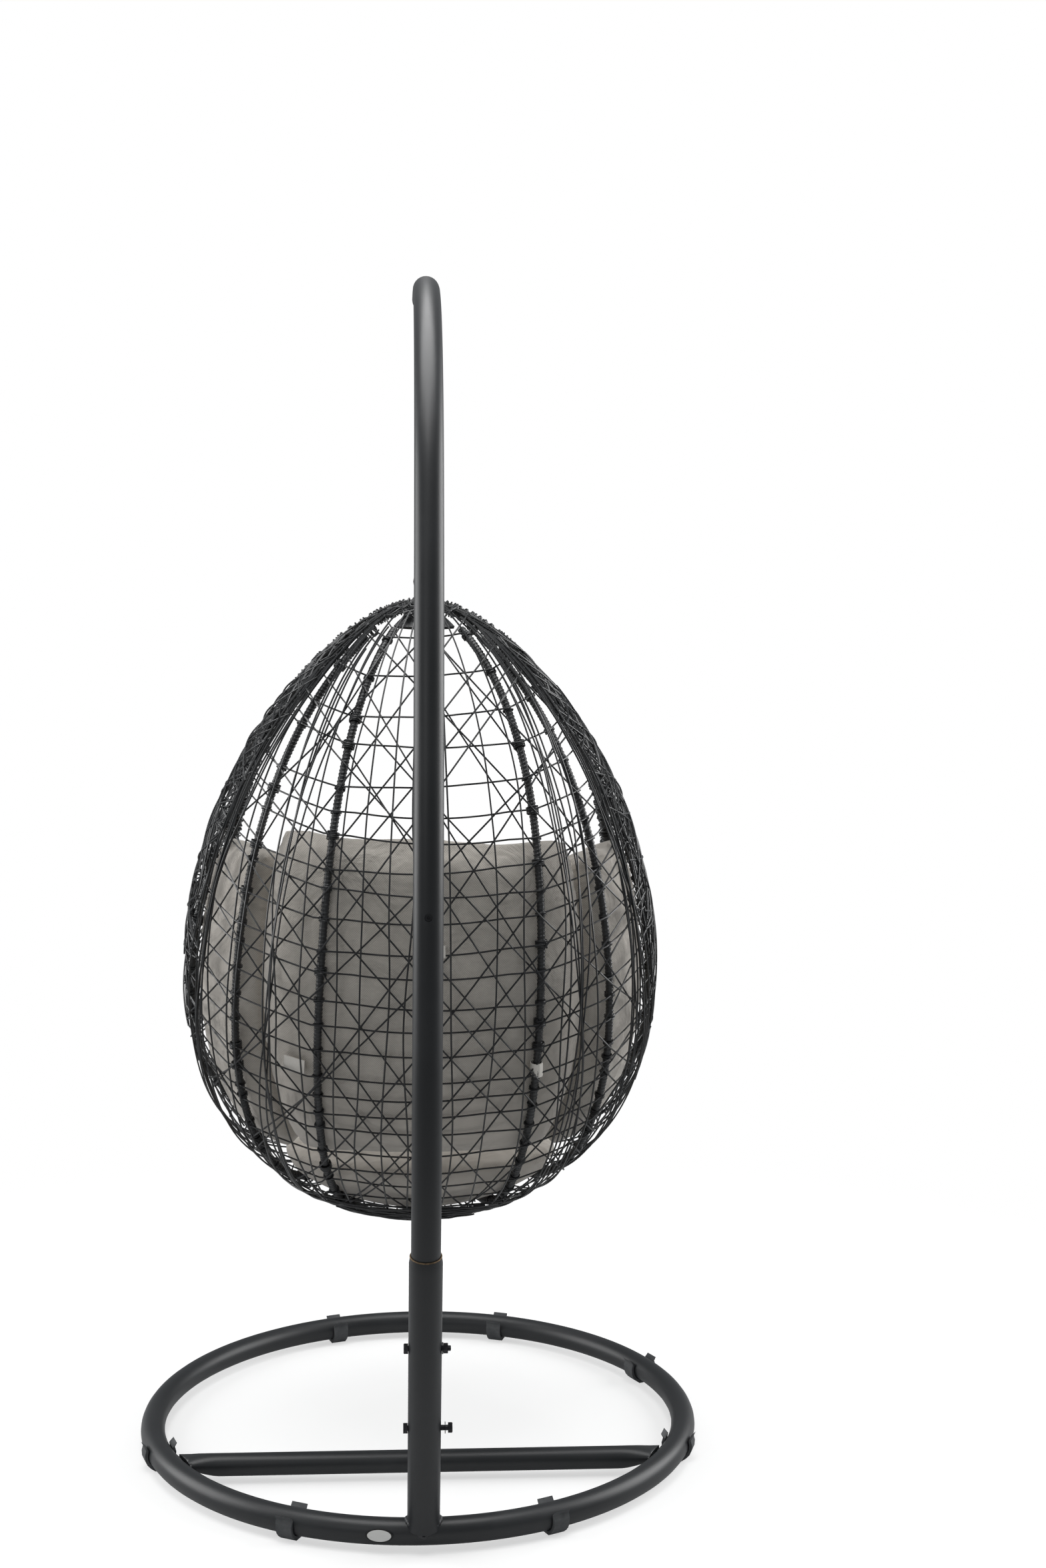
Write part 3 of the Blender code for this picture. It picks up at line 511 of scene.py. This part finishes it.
def leanPoint(distance):
    angle = math.radians(stand["lean"])
    return Vector((0, hangY + stand["ring"] + distance * math.sin(angle),
                   stand["ringHeight"] + distance * math.cos(angle)))


def bowPoint(length):
    start = leanPoint(stand["leanLength"])
    lean = math.radians(stand["lean"])
    angle = lean - length / stand["bow"]
    arc = Vector((0, math.cos(angle) - math.cos(lean), math.sin(lean) - math.sin(angle)))
    return start + arc * stand["bow"]


def topPoint(share):
    lean = math.radians(stand["lean"])
    nod = -math.radians(stand["nod"])
    start = bowPoint(stand["bow"] * (lean - nod))
    middle = start + Vector((0, -math.cos(nod), math.sin(nod))) * stand["top"]
    angle = nod + (-math.pi / 2 - nod) * share
    return middle + Vector((0, math.cos(angle), -math.sin(angle))) * stand["top"]


def ringPoint(angle, radius=None, height=None):
    radius = stand["ring"] if radius is None else radius
    height = stand["ringHeight"] if height is None else height
    turn = math.radians(angle)
    return Vector((radius * math.sin(turn), hangY + radius * math.cos(turn), height))


def makeRing():
    loop = [ringPoint(360 * step / 240) for step in range(240)]
    mesh = sweep("ringBase", [loop], stand["ringTube"], 10, closed=True)
    addPiece("ringBase", mesh, coat, "stand", ("base_ring",))


def flattenEnd(mesh, half):
    # each end is pressed flat, wider than the tube, and lies a little high
    end = dict(reach=0.07, pinch=0.28, widen=1.35, lift=0.0065)
    middle = hangY + stand["crossY"]
    for vert in mesh.vertices:
        ease = min(1, max(0, (half - abs(vert.co.x)) / end["reach"]))
        ease = ease * ease * (3 - 2 * ease)
        wide = end["widen"] - (end["widen"] - 1) * ease
        squeeze = wide * (end["pinch"] + (1 - end["pinch"]) * ease)
        height = stand["ringHeight"] + end["lift"] * (1 - ease)
        vert.co.z = height + (vert.co.z - stand["ringHeight"]) * squeeze
        vert.co.y = middle + (vert.co.y - middle) * wide


def makeCrossTube():
    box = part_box("base_cross_tube")
    half = box[1].x
    count = 120
    points = [Vector((half * (2 * step / count - 1), hangY + stand["crossY"], stand["ringHeight"]))
              for step in range(count + 1)]
    mesh = sweep("crossTube", [points], stand["cross"], 8)
    flattenEnd(mesh, half)
    for vert in mesh.vertices:
        # the ends follow the inside of the ring
        limit = math.sqrt((stand["ring"] - stand["ringTube"] - 0.0008) ** 2 - (vert.co.y - hangY) ** 2)
        vert.co.x = math.copysign(min(abs(vert.co.x), limit), vert.co.x)
    addPiece("crossTube", mesh, coat, "stand", ("base_cross_tube",))


def makePost():
    points = [leanPoint(0.12 + (stand["leanLength"] - 0.12) * step / 6) for step in range(7)]
    bow = stand["bow"] * math.radians(stand["lean"] + stand["nod"])
    points += [bowPoint(bow * step / 60) for step in range(1, 61)]
    points += [topPoint(step / 60) for step in range(1, 61)]
    points.append(points[-1] + Vector((0, -stand["arm"], 0)))
    mesh = sweep("pole", [points], stand["post"], 12)
    pole = addPiece("pole", mesh, coat, "stand", ("main_post",))
    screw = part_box("post_lock_screw")
    middle = (screw[0] + screw[1]) / 2
    hole = dict(radius=0.0055, depth=0.03, outward=0.012)
    bm = bmesh.new()
    place = Matrix.Translation((0, middle.y + hole["outward"], middle.z))
    place = place @ Matrix.Rotation(math.pi / 2, 4, "X")
    bmesh.ops.create_cone(bm, cap_ends=True, segments=32, radius1=hole["radius"], radius2=hole["radius"],
                          depth=hole["depth"], matrix=place)
    tool = bpy.data.objects.new("tool", meshOf(bm, "tool"))
    bpy.context.scene.collection.objects.link(tool)
    cut(pole, tool)


def cut(piece, tool):
    change = piece.modifiers.new("cut", "BOOLEAN")
    change.object = tool
    change.solver = "EXACT"
    bpy.context.view_layer.update()
    made = bpy.data.meshes.new_from_object(piece.evaluated_get(bpy.context.evaluated_depsgraph_get()))
    piece.modifiers.remove(change)
    looks = list(piece.data.materials)
    piece.data = made
    made.materials.clear()
    for look in looks:
        made.materials.append(look)
    made.shade_smooth()
    made.set_sharp_from_angle(angle=math.radians(40))
    bpy.data.objects.remove(tool)


def makeSocket():
    # outer tube with a rolled lip and a foot that flares on to the ring
    points = []
    radii = []
    length = stand["socketLength"]
    foot = 0.012
    steps = 48
    for step in range(steps + 1):
        distance = foot + (length - foot) * step / steps
        points.append(leanPoint(distance))
        flare = max(0, 1 - (distance - foot) / 0.018) ** 2 * 0.10
        lip = -0.06 if step == steps else 0
        radii.append(1 + flare + lip)
    mesh = sweep("socketTube", [(points, radii)], stand["socket"], 12)
    addPiece("socketTube", mesh, coat, "stand", ("post_socket",))
    top = leanPoint(length + 0.0004)
    axis = (leanPoint(1) - leanPoint(0)).normalized()
    side = Vector((1, 0, 0))
    over = axis.cross(side)
    loop = [top + (side * math.cos(math.tau * step / 40) + over * math.sin(math.tau * step / 40)) * 0.0226
            for step in range(40)]
    addPiece("socketRim", sweep("socketRim", [loop], 0.0011, 2, closed=True), worn, "stand")
    makeWeld()


def makeWeld():
    # the bead where the socket saddles the ring
    random.seed(4)
    loop = []
    radii = []
    tube = stand["ringTube"]
    reach = stand["socket"] + 0.0006
    for step in range(72):
        angle = math.tau * step / 72
        across = reach * math.cos(angle)
        outward = reach * math.sin(angle) * 0.80
        height = math.sqrt(max(tube * tube - outward * outward, 0)) + 0.0004
        lean = math.tan(math.radians(stand["lean"])) * height
        back = hangY + stand["ring"] + outward + lean * 0.6
        loop.append(Vector((across, back, stand["ringHeight"] + height)))
        radii.append(1 + 0.22 * math.sin(step * 2.1) + random.uniform(-0.1, 0.1))
    mesh = sweep("footWeld", [(loop, radii)], 0.0034, 3, closed=True)
    addPiece("footWeld", mesh, weld, "stand")
    ends = []
    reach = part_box("base_cross_tube")[1].x
    slope = stand["crossY"] / reach
    for hand in (-1, 1):
        points = []
        for step in range(28):
            angle = math.tau * step / 28
            across = 0.0248 * math.cos(angle)
            height = stand["ringHeight"] + 0.0065 + 0.0074 * math.sin(angle)
            points.append(Vector((hand * (reach - 0.0005 - across * slope),
                                  hangY + stand["crossY"] + across, height)))
        ends.append(points)
    mesh = sweep("crossWelds", ends, 0.0022, 2, closed=True)
    addPiece("crossWelds", mesh, weld, "stand")


makeRing()
makeCrossTube()
makePost()
makeSocket()
print("stand made")


basket = dict(top=1.432, waist=0.791, bottom=0.362, half=0.402, depth=0.86, drift=0.088, lip=0.540,
              hoop=0.0105, rib=0.007, fanStart=15, fanEnd=130)
ribs = {"left": ((18.3, 10.5, 2.3), (34.5, 15.2, 1.3), (57.0, 3.0, 1.0)),
        "right": ((18.3, 19.0, 1.6), (34.5, 16.3, 1.3), (57.0, 3.0, 1.0))}


def eggHalf(height):
    if height >= basket["waist"]:
        share = (height - basket["waist"]) / (basket["top"] - basket["waist"])
        return basket["half"] * max(0, 1 - share ** 2) ** (2 / 3)
    share = (basket["waist"] - height) / (basket["waist"] - basket["bottom"])
    return basket["half"] * max(0, 1 - share ** 2.15) ** (1 / 2.1)


def eggMiddle(height):
    return hangY - basket["drift"] * (basket["top"] - height) / (basket["top"] - basket["bottom"])


def insideEgg(point):
    if not basket["bottom"] < point.z < basket["top"]:
        return False
    width = eggHalf(point.z)
    return (point.x / width) ** 2 + ((point.y - eggMiddle(point.z)) / (width * basket["depth"])) ** 2 < 1


crown = Vector((0, hangY, basket["top"]))
lip = Vector((0, eggMiddle(basket["lip"]) - eggHalf(basket["lip"]) * basket["depth"], basket["lip"]))
rimMiddle = (crown + lip) / 2
rimUp = (crown - lip).normalized()
rimBack = Vector((0, rimUp.z, -rimUp.y))
sideways = Vector((1, 0, 0))


def eggNormal(point):
    step = 0.002
    width = max(eggHalf(point.z), 0.004)
    above = eggHalf(min(point.z + step, basket["top"]))
    below = eggHalf(max(point.z - step, basket["bottom"]))
    slope = max(-12, min(12, (above - below) / (2 * step)))
    return Vector((point.x / width ** 2, (point.y - eggMiddle(point.z)) / (width * basket["depth"]) ** 2,
                   -slope / width)).normalized()


def surfaceFrom(start, ray):
    near = 0.0
    far = 1.2
    for _ in range(20):
        half = (near + far) / 2
        if insideEgg(start + ray * half):
            near = half
        else:
            far = half
    return start + ray * near


def shellPoint(turn, side, offset=0.0):
    # turn: 0 at the crown to 180 at the lip; side: -90 to 90 across the back
    turn = math.radians(turn)
    side = math.radians(side)
    ray = rimUp * math.cos(turn) + (sideways * math.sin(side) + rimBack * math.cos(side)) * math.sin(turn)
    surface = surfaceFrom(rimMiddle, ray)
    return surface + eggNormal(surface) * offset if offset else surface


def levelPoint(angle, height, offset=0.0):
    # angle: plan angle from straight back
    width = eggHalf(height)
    turn = math.radians(angle)
    back = eggMiddle(height) + width * basket["depth"] * math.cos(turn)
    surface = Vector((width * math.sin(turn), back, height))
    return surface + eggNormal(surface) * offset if offset else surface


def shellAngles(point):
    ray = point - rimMiddle
    turn = math.degrees(math.acos(max(-1, min(1, ray.normalized().dot(rimUp)))))
    return turn, math.degrees(math.atan2(ray.x, ray.dot(rimBack)))


def ribSide(rib, turn):
    low, extra, fade = rib
    left = max(0, basket["fanEnd"] - turn) / (basket["fanEnd"] - basket["fanStart"])
    return low + extra * left ** fade


def hoopRun():
    steps = 60
    loop = [shellPoint(180 * step / steps, 90) for step in range(steps + 1)]
    loop += [shellPoint(180 - 180 * step / steps, -90) for step in range(1, steps)]
    for _ in range(5):
        following = loop[1:] + loop[:1]
        loop = [(loop[index - 1] + loop[index] * 2 + following[index]) / 4 for index in range(len(loop))]
    return loop


def ribRun(rib, hand, start):
    return [shellPoint(turn, hand * ribSide(rib, turn), -basket["rib"])
            for turn in (start + (180 - 2 * start) * step / 90 for step in range(91))]


def windRun(points, radius, pitch, closed=False, perTurn=9):
    # a strand wound round a bar that follows points
    bar = evenRun(points, pitch / perTurn, closed)
    made = []
    side = Vector((1, 0, 0))
    for index, point in enumerate(bar):
        if closed:
            along = (bar[(index + 1) % len(bar)] - bar[index - 1]).normalized()
        else:
            along = (bar[min(index + 1, len(bar) - 1)] - bar[max(index - 1, 0)]).normalized()
        side = (side - along * side.dot(along)).normalized()
        over = along.cross(side)
        angle = math.tau * index / perTurn
        made.append(point + (side * math.cos(angle) + over * math.sin(angle)) * radius)
    return made


def joined(name, meshes, sharp=60):
    bm = bmesh.new()
    for mesh in meshes:
        bm.from_mesh(mesh)
        bpy.data.meshes.remove(mesh)
    return meshOf(bm, name, sharp, normals=False)


def makeRibs():
    # steel rods under a strand wound tight
    binding = dict(strand=0.0026, pitch=0.0062, hoopStrand=0.0032, hoopPitch=0.0068)
    for hand, name in ((1, "left"), (-1, "right")):
        for number, rib in enumerate(ribs[name], 1):
            start = 9 + 3.5 * number
            run = ribRun(rib, hand, start)
            core = sweep("core", [run], basket["rib"] - 0.0011, 3)
            wound = sweep("wound", [windRun(run, basket["rib"] - binding["strand"], binding["pitch"])],
                          binding["strand"], 1)
            mesh = joined(f"rib{number}", [core, wound])
            addPiece(f"rib_{name}_{number}_bound", mesh, bindingLook, "basket",
                     (f"rib_{name}_{number}",))
    hoop = hoopRun()
    core = sweep("core", [hoop], basket["hoop"] - 0.0013, 4, closed=True)
    turns = windRun(hoop, basket["hoop"] - binding["hoopStrand"], binding["hoopPitch"], True, 11)
    wound = sweep("wound", [turns], binding["hoopStrand"], 1, closed=True)
    mesh = joined("hoop", [core, wound])
    addPiece("rim_hoop_bound", mesh, bindingLook, "basket", ("rim_hoop",))


makeRibs()
print("ribs and hoop bound")


weave = dict(strand=0.00145, rowGap=0.0405, crossGap=0.047, crossSlope=51, middle=0.88)


def ovalRun(middle, across, deep, lift, step=2.5):
    # the stretch behind the rim of the egg's section by a plane
    made = []
    turn = -75.0
    wave = random.uniform(0, math.tau)
    while turn < 255:
        angle = math.radians(turn)
        surface = surfaceFrom(middle, across * math.cos(angle) + deep * math.sin(angle))
        if (surface - rimMiddle).dot(rimBack) > 0.004:
            weaving = 0.0008 * math.sin(wave + math.radians(turn) * 9)
            made.append(surface + eggNormal(surface) * (lift + weaving))
        turn += step
    return pullTaut(made, 0.42)


def pullTaut(run, slack):
    # straightens a strand between the ribs it crosses; slack 1 leaves it on the egg
    marks = [0]
    places = [shellAngles(spot) for spot in run]
    for index in range(len(run) - 1):
        turn, side = places[index]
        for rib in ribs["left" if side > 0 else "right"]:
            goal = math.copysign(ribSide(rib, turn), side)
            if (side - goal) * (places[index + 1][1] - goal) <= 0:
                marks.append(index)
    marks.append(len(run) - 1)
    for first, last in zip(marks, marks[1:]):
        for index in range(first + 1, last):
            chord = run[first].lerp(run[last], (index - first) / (last - first))
            pull = (chord - run[index]) * (1 - slack)
            # the cushions lie just inside, and hold the strands out
            room = 0.012 if run[index].z < 1.09 else 0.020
            run[index] = run[index] + pull * min(1, room / max(pull.length, 0.0001))
    return run


def rowRuns():
    # strands across the ribs, square to the rim
    random.seed(11)
    runs = []
    ties = []
    rise = -0.495
    while rise < 0.47:
        tilt = math.radians(random.uniform(-1.6, 1.6))
        across = sideways * math.cos(tilt) + rimUp * math.sin(tilt)
        middle = rimMiddle + rimUp * rise + rimBack * 0.06
        if insideEgg(middle):
            run = ovalRun(middle, across, rimBack, 0.0014)
            if len(run) > 6:
                runs.append(run)
                ties.append(run)
        rise += weave["rowGap"] * random.uniform(0.78, 1.2)
    return runs, ties


def crossRuns():
    # two families of long slanting strands that cross all over the back
    random.seed(36)
    runs = []
    for hand in (1, -1):
        reach = -0.47
        while reach < 0.47:
            slope = math.radians(weave["crossSlope"] + random.uniform(-7, 7)) * hand
            across = Vector((math.cos(slope), 0, math.sin(slope)))
            middle = Vector((-math.sin(slope) * reach, 0, weave["middle"] + math.cos(slope) * reach))
            middle.y = eggMiddle(max(basket["bottom"], min(basket["top"], middle.z)))
            if insideEgg(middle):
                lean = random.uniform(-0.10, 0.10)
                deep = Vector((0, 1, lean)).normalized()
                run = ovalRun(middle, across, deep, 0.0034 if hand > 0 else 0.0050)
                if len(run) > 8:
                    runs.append(run)
            reach += weave["crossGap"] * random.uniform(0.75, 1.25)
    return runs


def shellRun(stops, lift):
    # a strand through (turn, side) stops
    made = []
    wave = random.uniform(0, math.tau)
    dense = smoothRun([Vector((turn, side, 0)) for turn, side in stops], 1.6)
    for index, spot in enumerate(dense):
        weaving = 0.0009 * math.sin(wave + index * 0.35)
        made.append(shellPoint(spot.x, max(-90, min(90, spot.y)), lift + weaving))
    return made


def uprightRuns():
    # strands from crown to lip that follow the fan of the ribs
    random.seed(21)
    runs = []
    for share in (-0.84, -0.56, -0.22, 0.14, 0.36, 0.62, 0.83):
        name = "left" if share > 0 else "right"
        stops = []
        turn = 8.0
        while turn < 172:
            side = ribSide(ribs[name][0], turn) * share
            stops.append((turn, side + random.uniform(-0.9, 0.9)))
            turn += random.uniform(16, 26)
        stops.append((172, stops[-1][1]))
        runs.append(shellRun(stops, 0.0030))
    for hand, name in ((1, "left"), (-1, "right")):
        for inner, outer, count in ((0, 1, 8), (1, 2, 9)):
            for index in range(count):
                first = (index + random.random()) / count
                last = random.random() if index % 2 else 1 - first
                stops = []
                turn = random.uniform(7, 22)
                end = random.uniform(140, 172)
                begin = turn
                while turn < end:
                    share = first + (last - first) * (turn - begin) / (end - begin)
                    low = ribSide(ribs[name][inner], turn)
                    high = ribSide(ribs[name][outer], turn)
                    stops.append((turn, hand * (low + (high - low) * share + random.uniform(-1, 1))))
                    turn += random.uniform(15, 28)
                stops.append((end, stops[-1][1]))
                runs.append(shellRun(stops, random.uniform(0.002, 0.007)))
    return runs


def edgeRuns():
    # the tangle between the outermost rib and the hoop, both ways, and strands along it
    random.seed(55)
    runs = []
    for hand in (1, -1):
        for direction in (1, -1):
            turn = 4.0
            while turn < 168:
                span = random.uniform(10, 26)
                low, high = (random.uniform(50, 60), random.uniform(86, 91))
                if direction < 0:
                    low, high = high, low
                stops = [(turn + span * share, hand * (low + (high - low) * share))
                         for share in (0, 0.35, 0.7, 1)]
                stops = [stop for stop in stops if stop[0] < 176]
                runs.append(shellRun(stops, random.uniform(0.001, 0.006)))
                turn += random.uniform(1.9, 4.0)
        for _ in range(36):
            turn = random.uniform(3, 110)
            length = random.uniform(35, 80)
            side = 89 - 33 * random.random() ** 1.4
            stops = []
            while turn < 175 and length > 0:
                stops.append((turn, hand * side))
                hop = random.uniform(8, 15)
                turn += hop
                length -= hop
                side = max(54, min(90, side + random.uniform(-9, 9)))
            if len(stops) > 2:
                runs.append(shellRun(stops, random.uniform(-0.003, 0.006)))
    return [run for run in runs if len(run) > 3]


def crownRuns():
    # loose turns round the crown, and long ones under the bottom
    random.seed(64)
    runs = []
    for _ in range(14):
        start = random.uniform(2.5, 7)
        side = random.uniform(-88, 20)
        stops = [(start + random.uniform(-1, 2) + step * 0.5, side + step * random.uniform(10, 16))
                 for step in range(7)]
        runs.append(shellRun(stops, random.uniform(0.001, 0.005)))
    for index in range(46):
        angle = random.uniform(-105, 30)
        height = 0.368 + 0.050 * random.random() ** 1.5
        run = []
        for step in range(random.randint(26, 46)):
            height = max(0.3655, height + random.uniform(-0.0035, 0.0035))
            angle += random.uniform(2.2, 3.6)
            run.append(levelPoint(angle, height, random.uniform(0.001, 0.004) + 0.002 * (index % 3)))
        for _ in range(2):
            inner = [(before + here * 2 + after) / 4 for before, here, after in zip(run, run[1:], run[2:])]
            run = [run[0]] + inner + [run[-1]]
        runs.append([spot for spot in run if (spot - rimMiddle).dot(rimBack) > 0])
    return [run for run in runs if len(run) > 3]


def wrapRuns(rows):
    # lashings where the rows cross the ribs
    random.seed(5)
    runs = []
    for row in rows:
        sides = [shellAngles(spot) for spot in row]
        for hand, name in ((1, "left"), (-1, "right")):
            for rib in ribs[name]:
                for spot, first, second in zip(row, sides, sides[1:]):
                    goal = hand * ribSide(rib, first[0])
                    if (first[1] - goal) * (second[1] - goal) <= 0:
                        runs.append(wrapAt(first[0], hand, rib))
    return runs


def wrapAt(turn, hand, rib):
    middle = shellPoint(turn, hand * ribSide(rib, turn), -basket["rib"])
    ahead = shellPoint(turn + 1, hand * ribSide(rib, turn + 1))
    along = (ahead - shellPoint(turn - 1, hand * ribSide(rib, turn - 1))).normalized()
    side = along.orthogonal().normalized()
    over = along.cross(side)
    turns = random.choice((1.2, 1.6, 2.3, 2.3, 4.4))
    radius = basket["rib"] + 0.0009 + (0.0012 if turns > 4 else 0)
    count = int(turns * 9)
    begin = random.uniform(0, math.tau)
    run = []
    for step in range(count + 1):
        angle = begin + math.tau * step / 9
        shift = (step / count - 0.5) * turns * 0.0028
        run.append(middle + along * shift + (side * math.cos(angle) + over * math.sin(angle)) * radius)
    return run


def hoopWraps():
    # every strand's end is turned round the hoop
    random.seed(8)
    hoop = evenRun(hoopRun(), 0.004, True)
    runs = []
    spot = 3.0
    while spot < len(hoop) - 4:
        index = int(spot)
        middle = hoop[index]
        along = (hoop[(index + 1) % len(hoop)] - hoop[index - 1]).normalized()
        side = along.orthogonal().normalized()
        over = along.cross(side)
        turns = random.uniform(1.1, 2.6)
        pitch = random.uniform(0.003, 0.012) * random.choice((1, -1))
        radius = basket["hoop"] + random.uniform(0.0006, 0.0022)
        count = int(turns * 10)
        begin = random.uniform(0, math.tau)
        run = []
        for step in range(count + 1):
            angle = begin + math.tau * step / 10
            shift = (step / count - 0.5) * turns * pitch
            run.append(middle + along * shift + (side * math.cos(angle) + over * math.sin(angle)) * radius)
        runs.append(run)
        spot += random.uniform(1.5, 5.5)
    return runs


def makeWeave():
    rows, tied = rowRuns()
    groups = (("weaveRows", rows, ("weave_back",)), ("weaveUprights", uprightRuns(), ("weave_left",)),
              ("weaveCrosses", crossRuns(), ("weave_right",)), ("weaveEdges", edgeRuns() + crownRuns(), ()),
              ("ribWraps", wrapRuns(tied), ()), ("hoopWraps", hoopWraps(), ()))
    for name, runs, nodes in groups:
        mesh = sweep(name, runs, weave["strand"], 1)
        addPiece(name, mesh, strandLook, "basket", nodes)
        print(name, len(runs), "strands", sum(len(face.vertices) - 2 for face in mesh.polygons), "triangles")


makeWeave()
print("weave made")


def padMesh(name, pad, cuts):
    # a block bent to the inside of the egg, with rounded corners and edges
    bm = bmesh.new()
    bmesh.ops.create_cube(bm, size=2)
    bmesh.ops.subdivide_edges(bm, edges=bm.edges, cuts=cuts, use_grid_fill=True)
    for vert in bm.verts:
        u, w, v = vert.co
        roundness = 1 - pad["corner"] * v ** 6
        upness = 1 - pad["corner"] * u ** 6
        edge = max(abs(u) ** 8, abs(v) ** 8)
        depth = w * (1 - 0.35 * edge)
        angle = pad["angle"] + pad["span"] * u * roundness
        sag = pad["sag"] * (u + 0.35 * math.cos(u * 7)) * max(v, 0)
        height = pad["height"] + pad["rise"] * v * upness + sag
        inset = pad["inset"] + pad["thick"] / 2 * (1 - depth)
        vert.co = levelPoint(angle, height, -inset)
    return meshOf(bm, name, 180)


def seatMesh(name):
    bm = bmesh.new()
    bmesh.ops.create_cube(bm, size=2)
    bmesh.ops.subdivide_edges(bm, edges=bm.edges, cuts=20, use_grid_fill=True)
    low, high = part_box("seat_cushion")
    for vert in bm.verts:
        u, v, w = vert.co
        reach = max(abs(u), abs(v))
        length = math.hypot(u, v) or 1
        across = reach * u / length
        along = reach * v / length
        height = low.z + 0.008 + (high.z - low.z - 0.014) * (w + 1) / 2
        inner = eggHalf(max(height, basket["bottom"] + 0.012)) - 0.030
        bowl = 1 - 0.10 * reach ** 4 * abs(w) ** 3
        x = across * inner * bowl
        y = eggMiddle(height) + along * inner * basket["depth"] * bowl
        vert.co = (x, y, height)
    return meshOf(bm, name, 180)


def keepInside(mesh, inset):
    # lets a pad press flat against the inside of the ribs
    for vert in mesh.vertices:
        point = vert.co
        height = min(max(point.z, basket["bottom"] + 0.004), basket["top"] - 0.01)
        width = eggHalf(height)
        across = point.x
        deep = (point.y - eggMiddle(height)) / basket["depth"]
        reach = math.hypot(across, deep)
        normal = eggNormal(Vector((point.x, point.y, height)))
        limit = width - inset / max(0.25, math.hypot(normal.x, normal.y))
        if reach > limit > 0:
            squeeze = limit / reach
            vert.co.x *= squeeze
            vert.co.y = eggMiddle(height) + (vert.co.y - eggMiddle(height)) * squeeze


def puff(piece, voxel, pressure, cap):
    # remesh, inflate, and keep each point within cap of where it began
    remesh = piece.modifiers.new("remesh", "REMESH")
    remesh.mode = "VOXEL"
    remesh.voxel_size = voxel
    bpy.context.view_layer.update()
    dense = bpy.data.meshes.new_from_object(piece.evaluated_get(bpy.context.evaluated_depsgraph_get()))
    piece.modifiers.remove(remesh)
    piece.data = dense
    start = [vert.co.copy() for vert in dense.vertices]
    swell = piece.modifiers.new("swell", "CLOTH")
    settings = swell.settings
    settings.quality = 6
    settings.mass = 0.25
    settings.tension_stiffness = 14
    settings.compression_stiffness = 8
    settings.shear_stiffness = 6
    settings.bending_stiffness = 0.4
    settings.use_pressure = True
    settings.uniform_pressure_force = pressure
    settings.effector_weights.gravity = 0
    scene = bpy.context.scene
    for number in range(1, 21):
        scene.frame_set(number)
    shaped = bpy.data.meshes.new_from_object(piece.evaluated_get(bpy.context.evaluated_depsgraph_get()))
    piece.modifiers.remove(swell)
    piece.data = shaped
    scene.frame_set(1)
    for vert, origin in zip(shaped.vertices, start):
        move = vert.co - origin
        if move.length > cap:
            vert.co = origin + move * (cap / move.length)
    return piece


def finishPad(piece, look):
    soft = piece.modifiers.new("soft", "SMOOTH")
    soft.iterations = 2
    fine = piece.modifiers.new("fine", "SUBSURF")
    fine.levels = 1
    fine.render_levels = 1
    bpy.context.view_layer.update()
    made = bpy.data.meshes.new_from_object(piece.evaluated_get(bpy.context.evaluated_depsgraph_get()))
    piece.modifiers.clear()
    piece.data = made
    made.materials.clear()
    made.materials.append(look)
    made.shade_smooth()


def makeCushions():
    backPad = dict(angle=0, span=47.2, height=0.779, rise=0.290, corner=0.035, sag=0.009)
    leftPad = dict(angle=66, span=19.3, height=0.766, rise=0.280, corner=0.06, sag=0.004)
    rightPad = dict(angle=-66, span=19.3, height=0.764, rise=0.278, corner=0.06, sag=-0.006)
    pads = (("backCushion", backPad, "back_cushion", 0.75),
            ("bolsterLeft", leftPad, "side_bolster_left", 0.7),
            ("bolsterRight", rightPad, "side_bolster_right", 0.7))
    for name, pad, node, fill in pads:
        pad.update(inset=0.024, thick=0.078)
        piece = addPiece(name, padMesh(name, pad, 18), cloth, "basket", (node,))
        puff(piece, 0.006, 4, 0.010)
        keepInside(piece.data, 0.019)
        finishPad(piece, cloth)
        print(name, len(piece.data.polygons), "faces")
    mesh = seatMesh("seatCushion")
    seat = addPiece("seatCushion", mesh, cloth, "basket", ("seat_cushion",))
    puff(seat, 0.007, 4, 0.014)
    keepInside(seat.data, 0.019)
    finishPad(seat, cloth)


makeCushions()
print("cushions made")


def dressHardware():
    looks = {"zinc": zinc, "spring_steel": springWire, "foot_rubber": rubber, "badge_silver": badge,
             "cap_plastic": plastic, "powder_coat": coat, "cushion_fabric": cloth, "wicker": bindingLook,
             "hoop_wrap": bindingLook}
    for part in frame["record"]["subparts"]:
        node = frame["nodes"][part["node"]]
        look = looks[part["material_slot"]]
        if part["node"].startswith(("socket_", "post_lock")):
            look = plated
        if part["node"].startswith("tie_"):
            look = tie
        for slot in node.material_slots:
            slot.material = look


dressHardware()
print("hardware dressed")
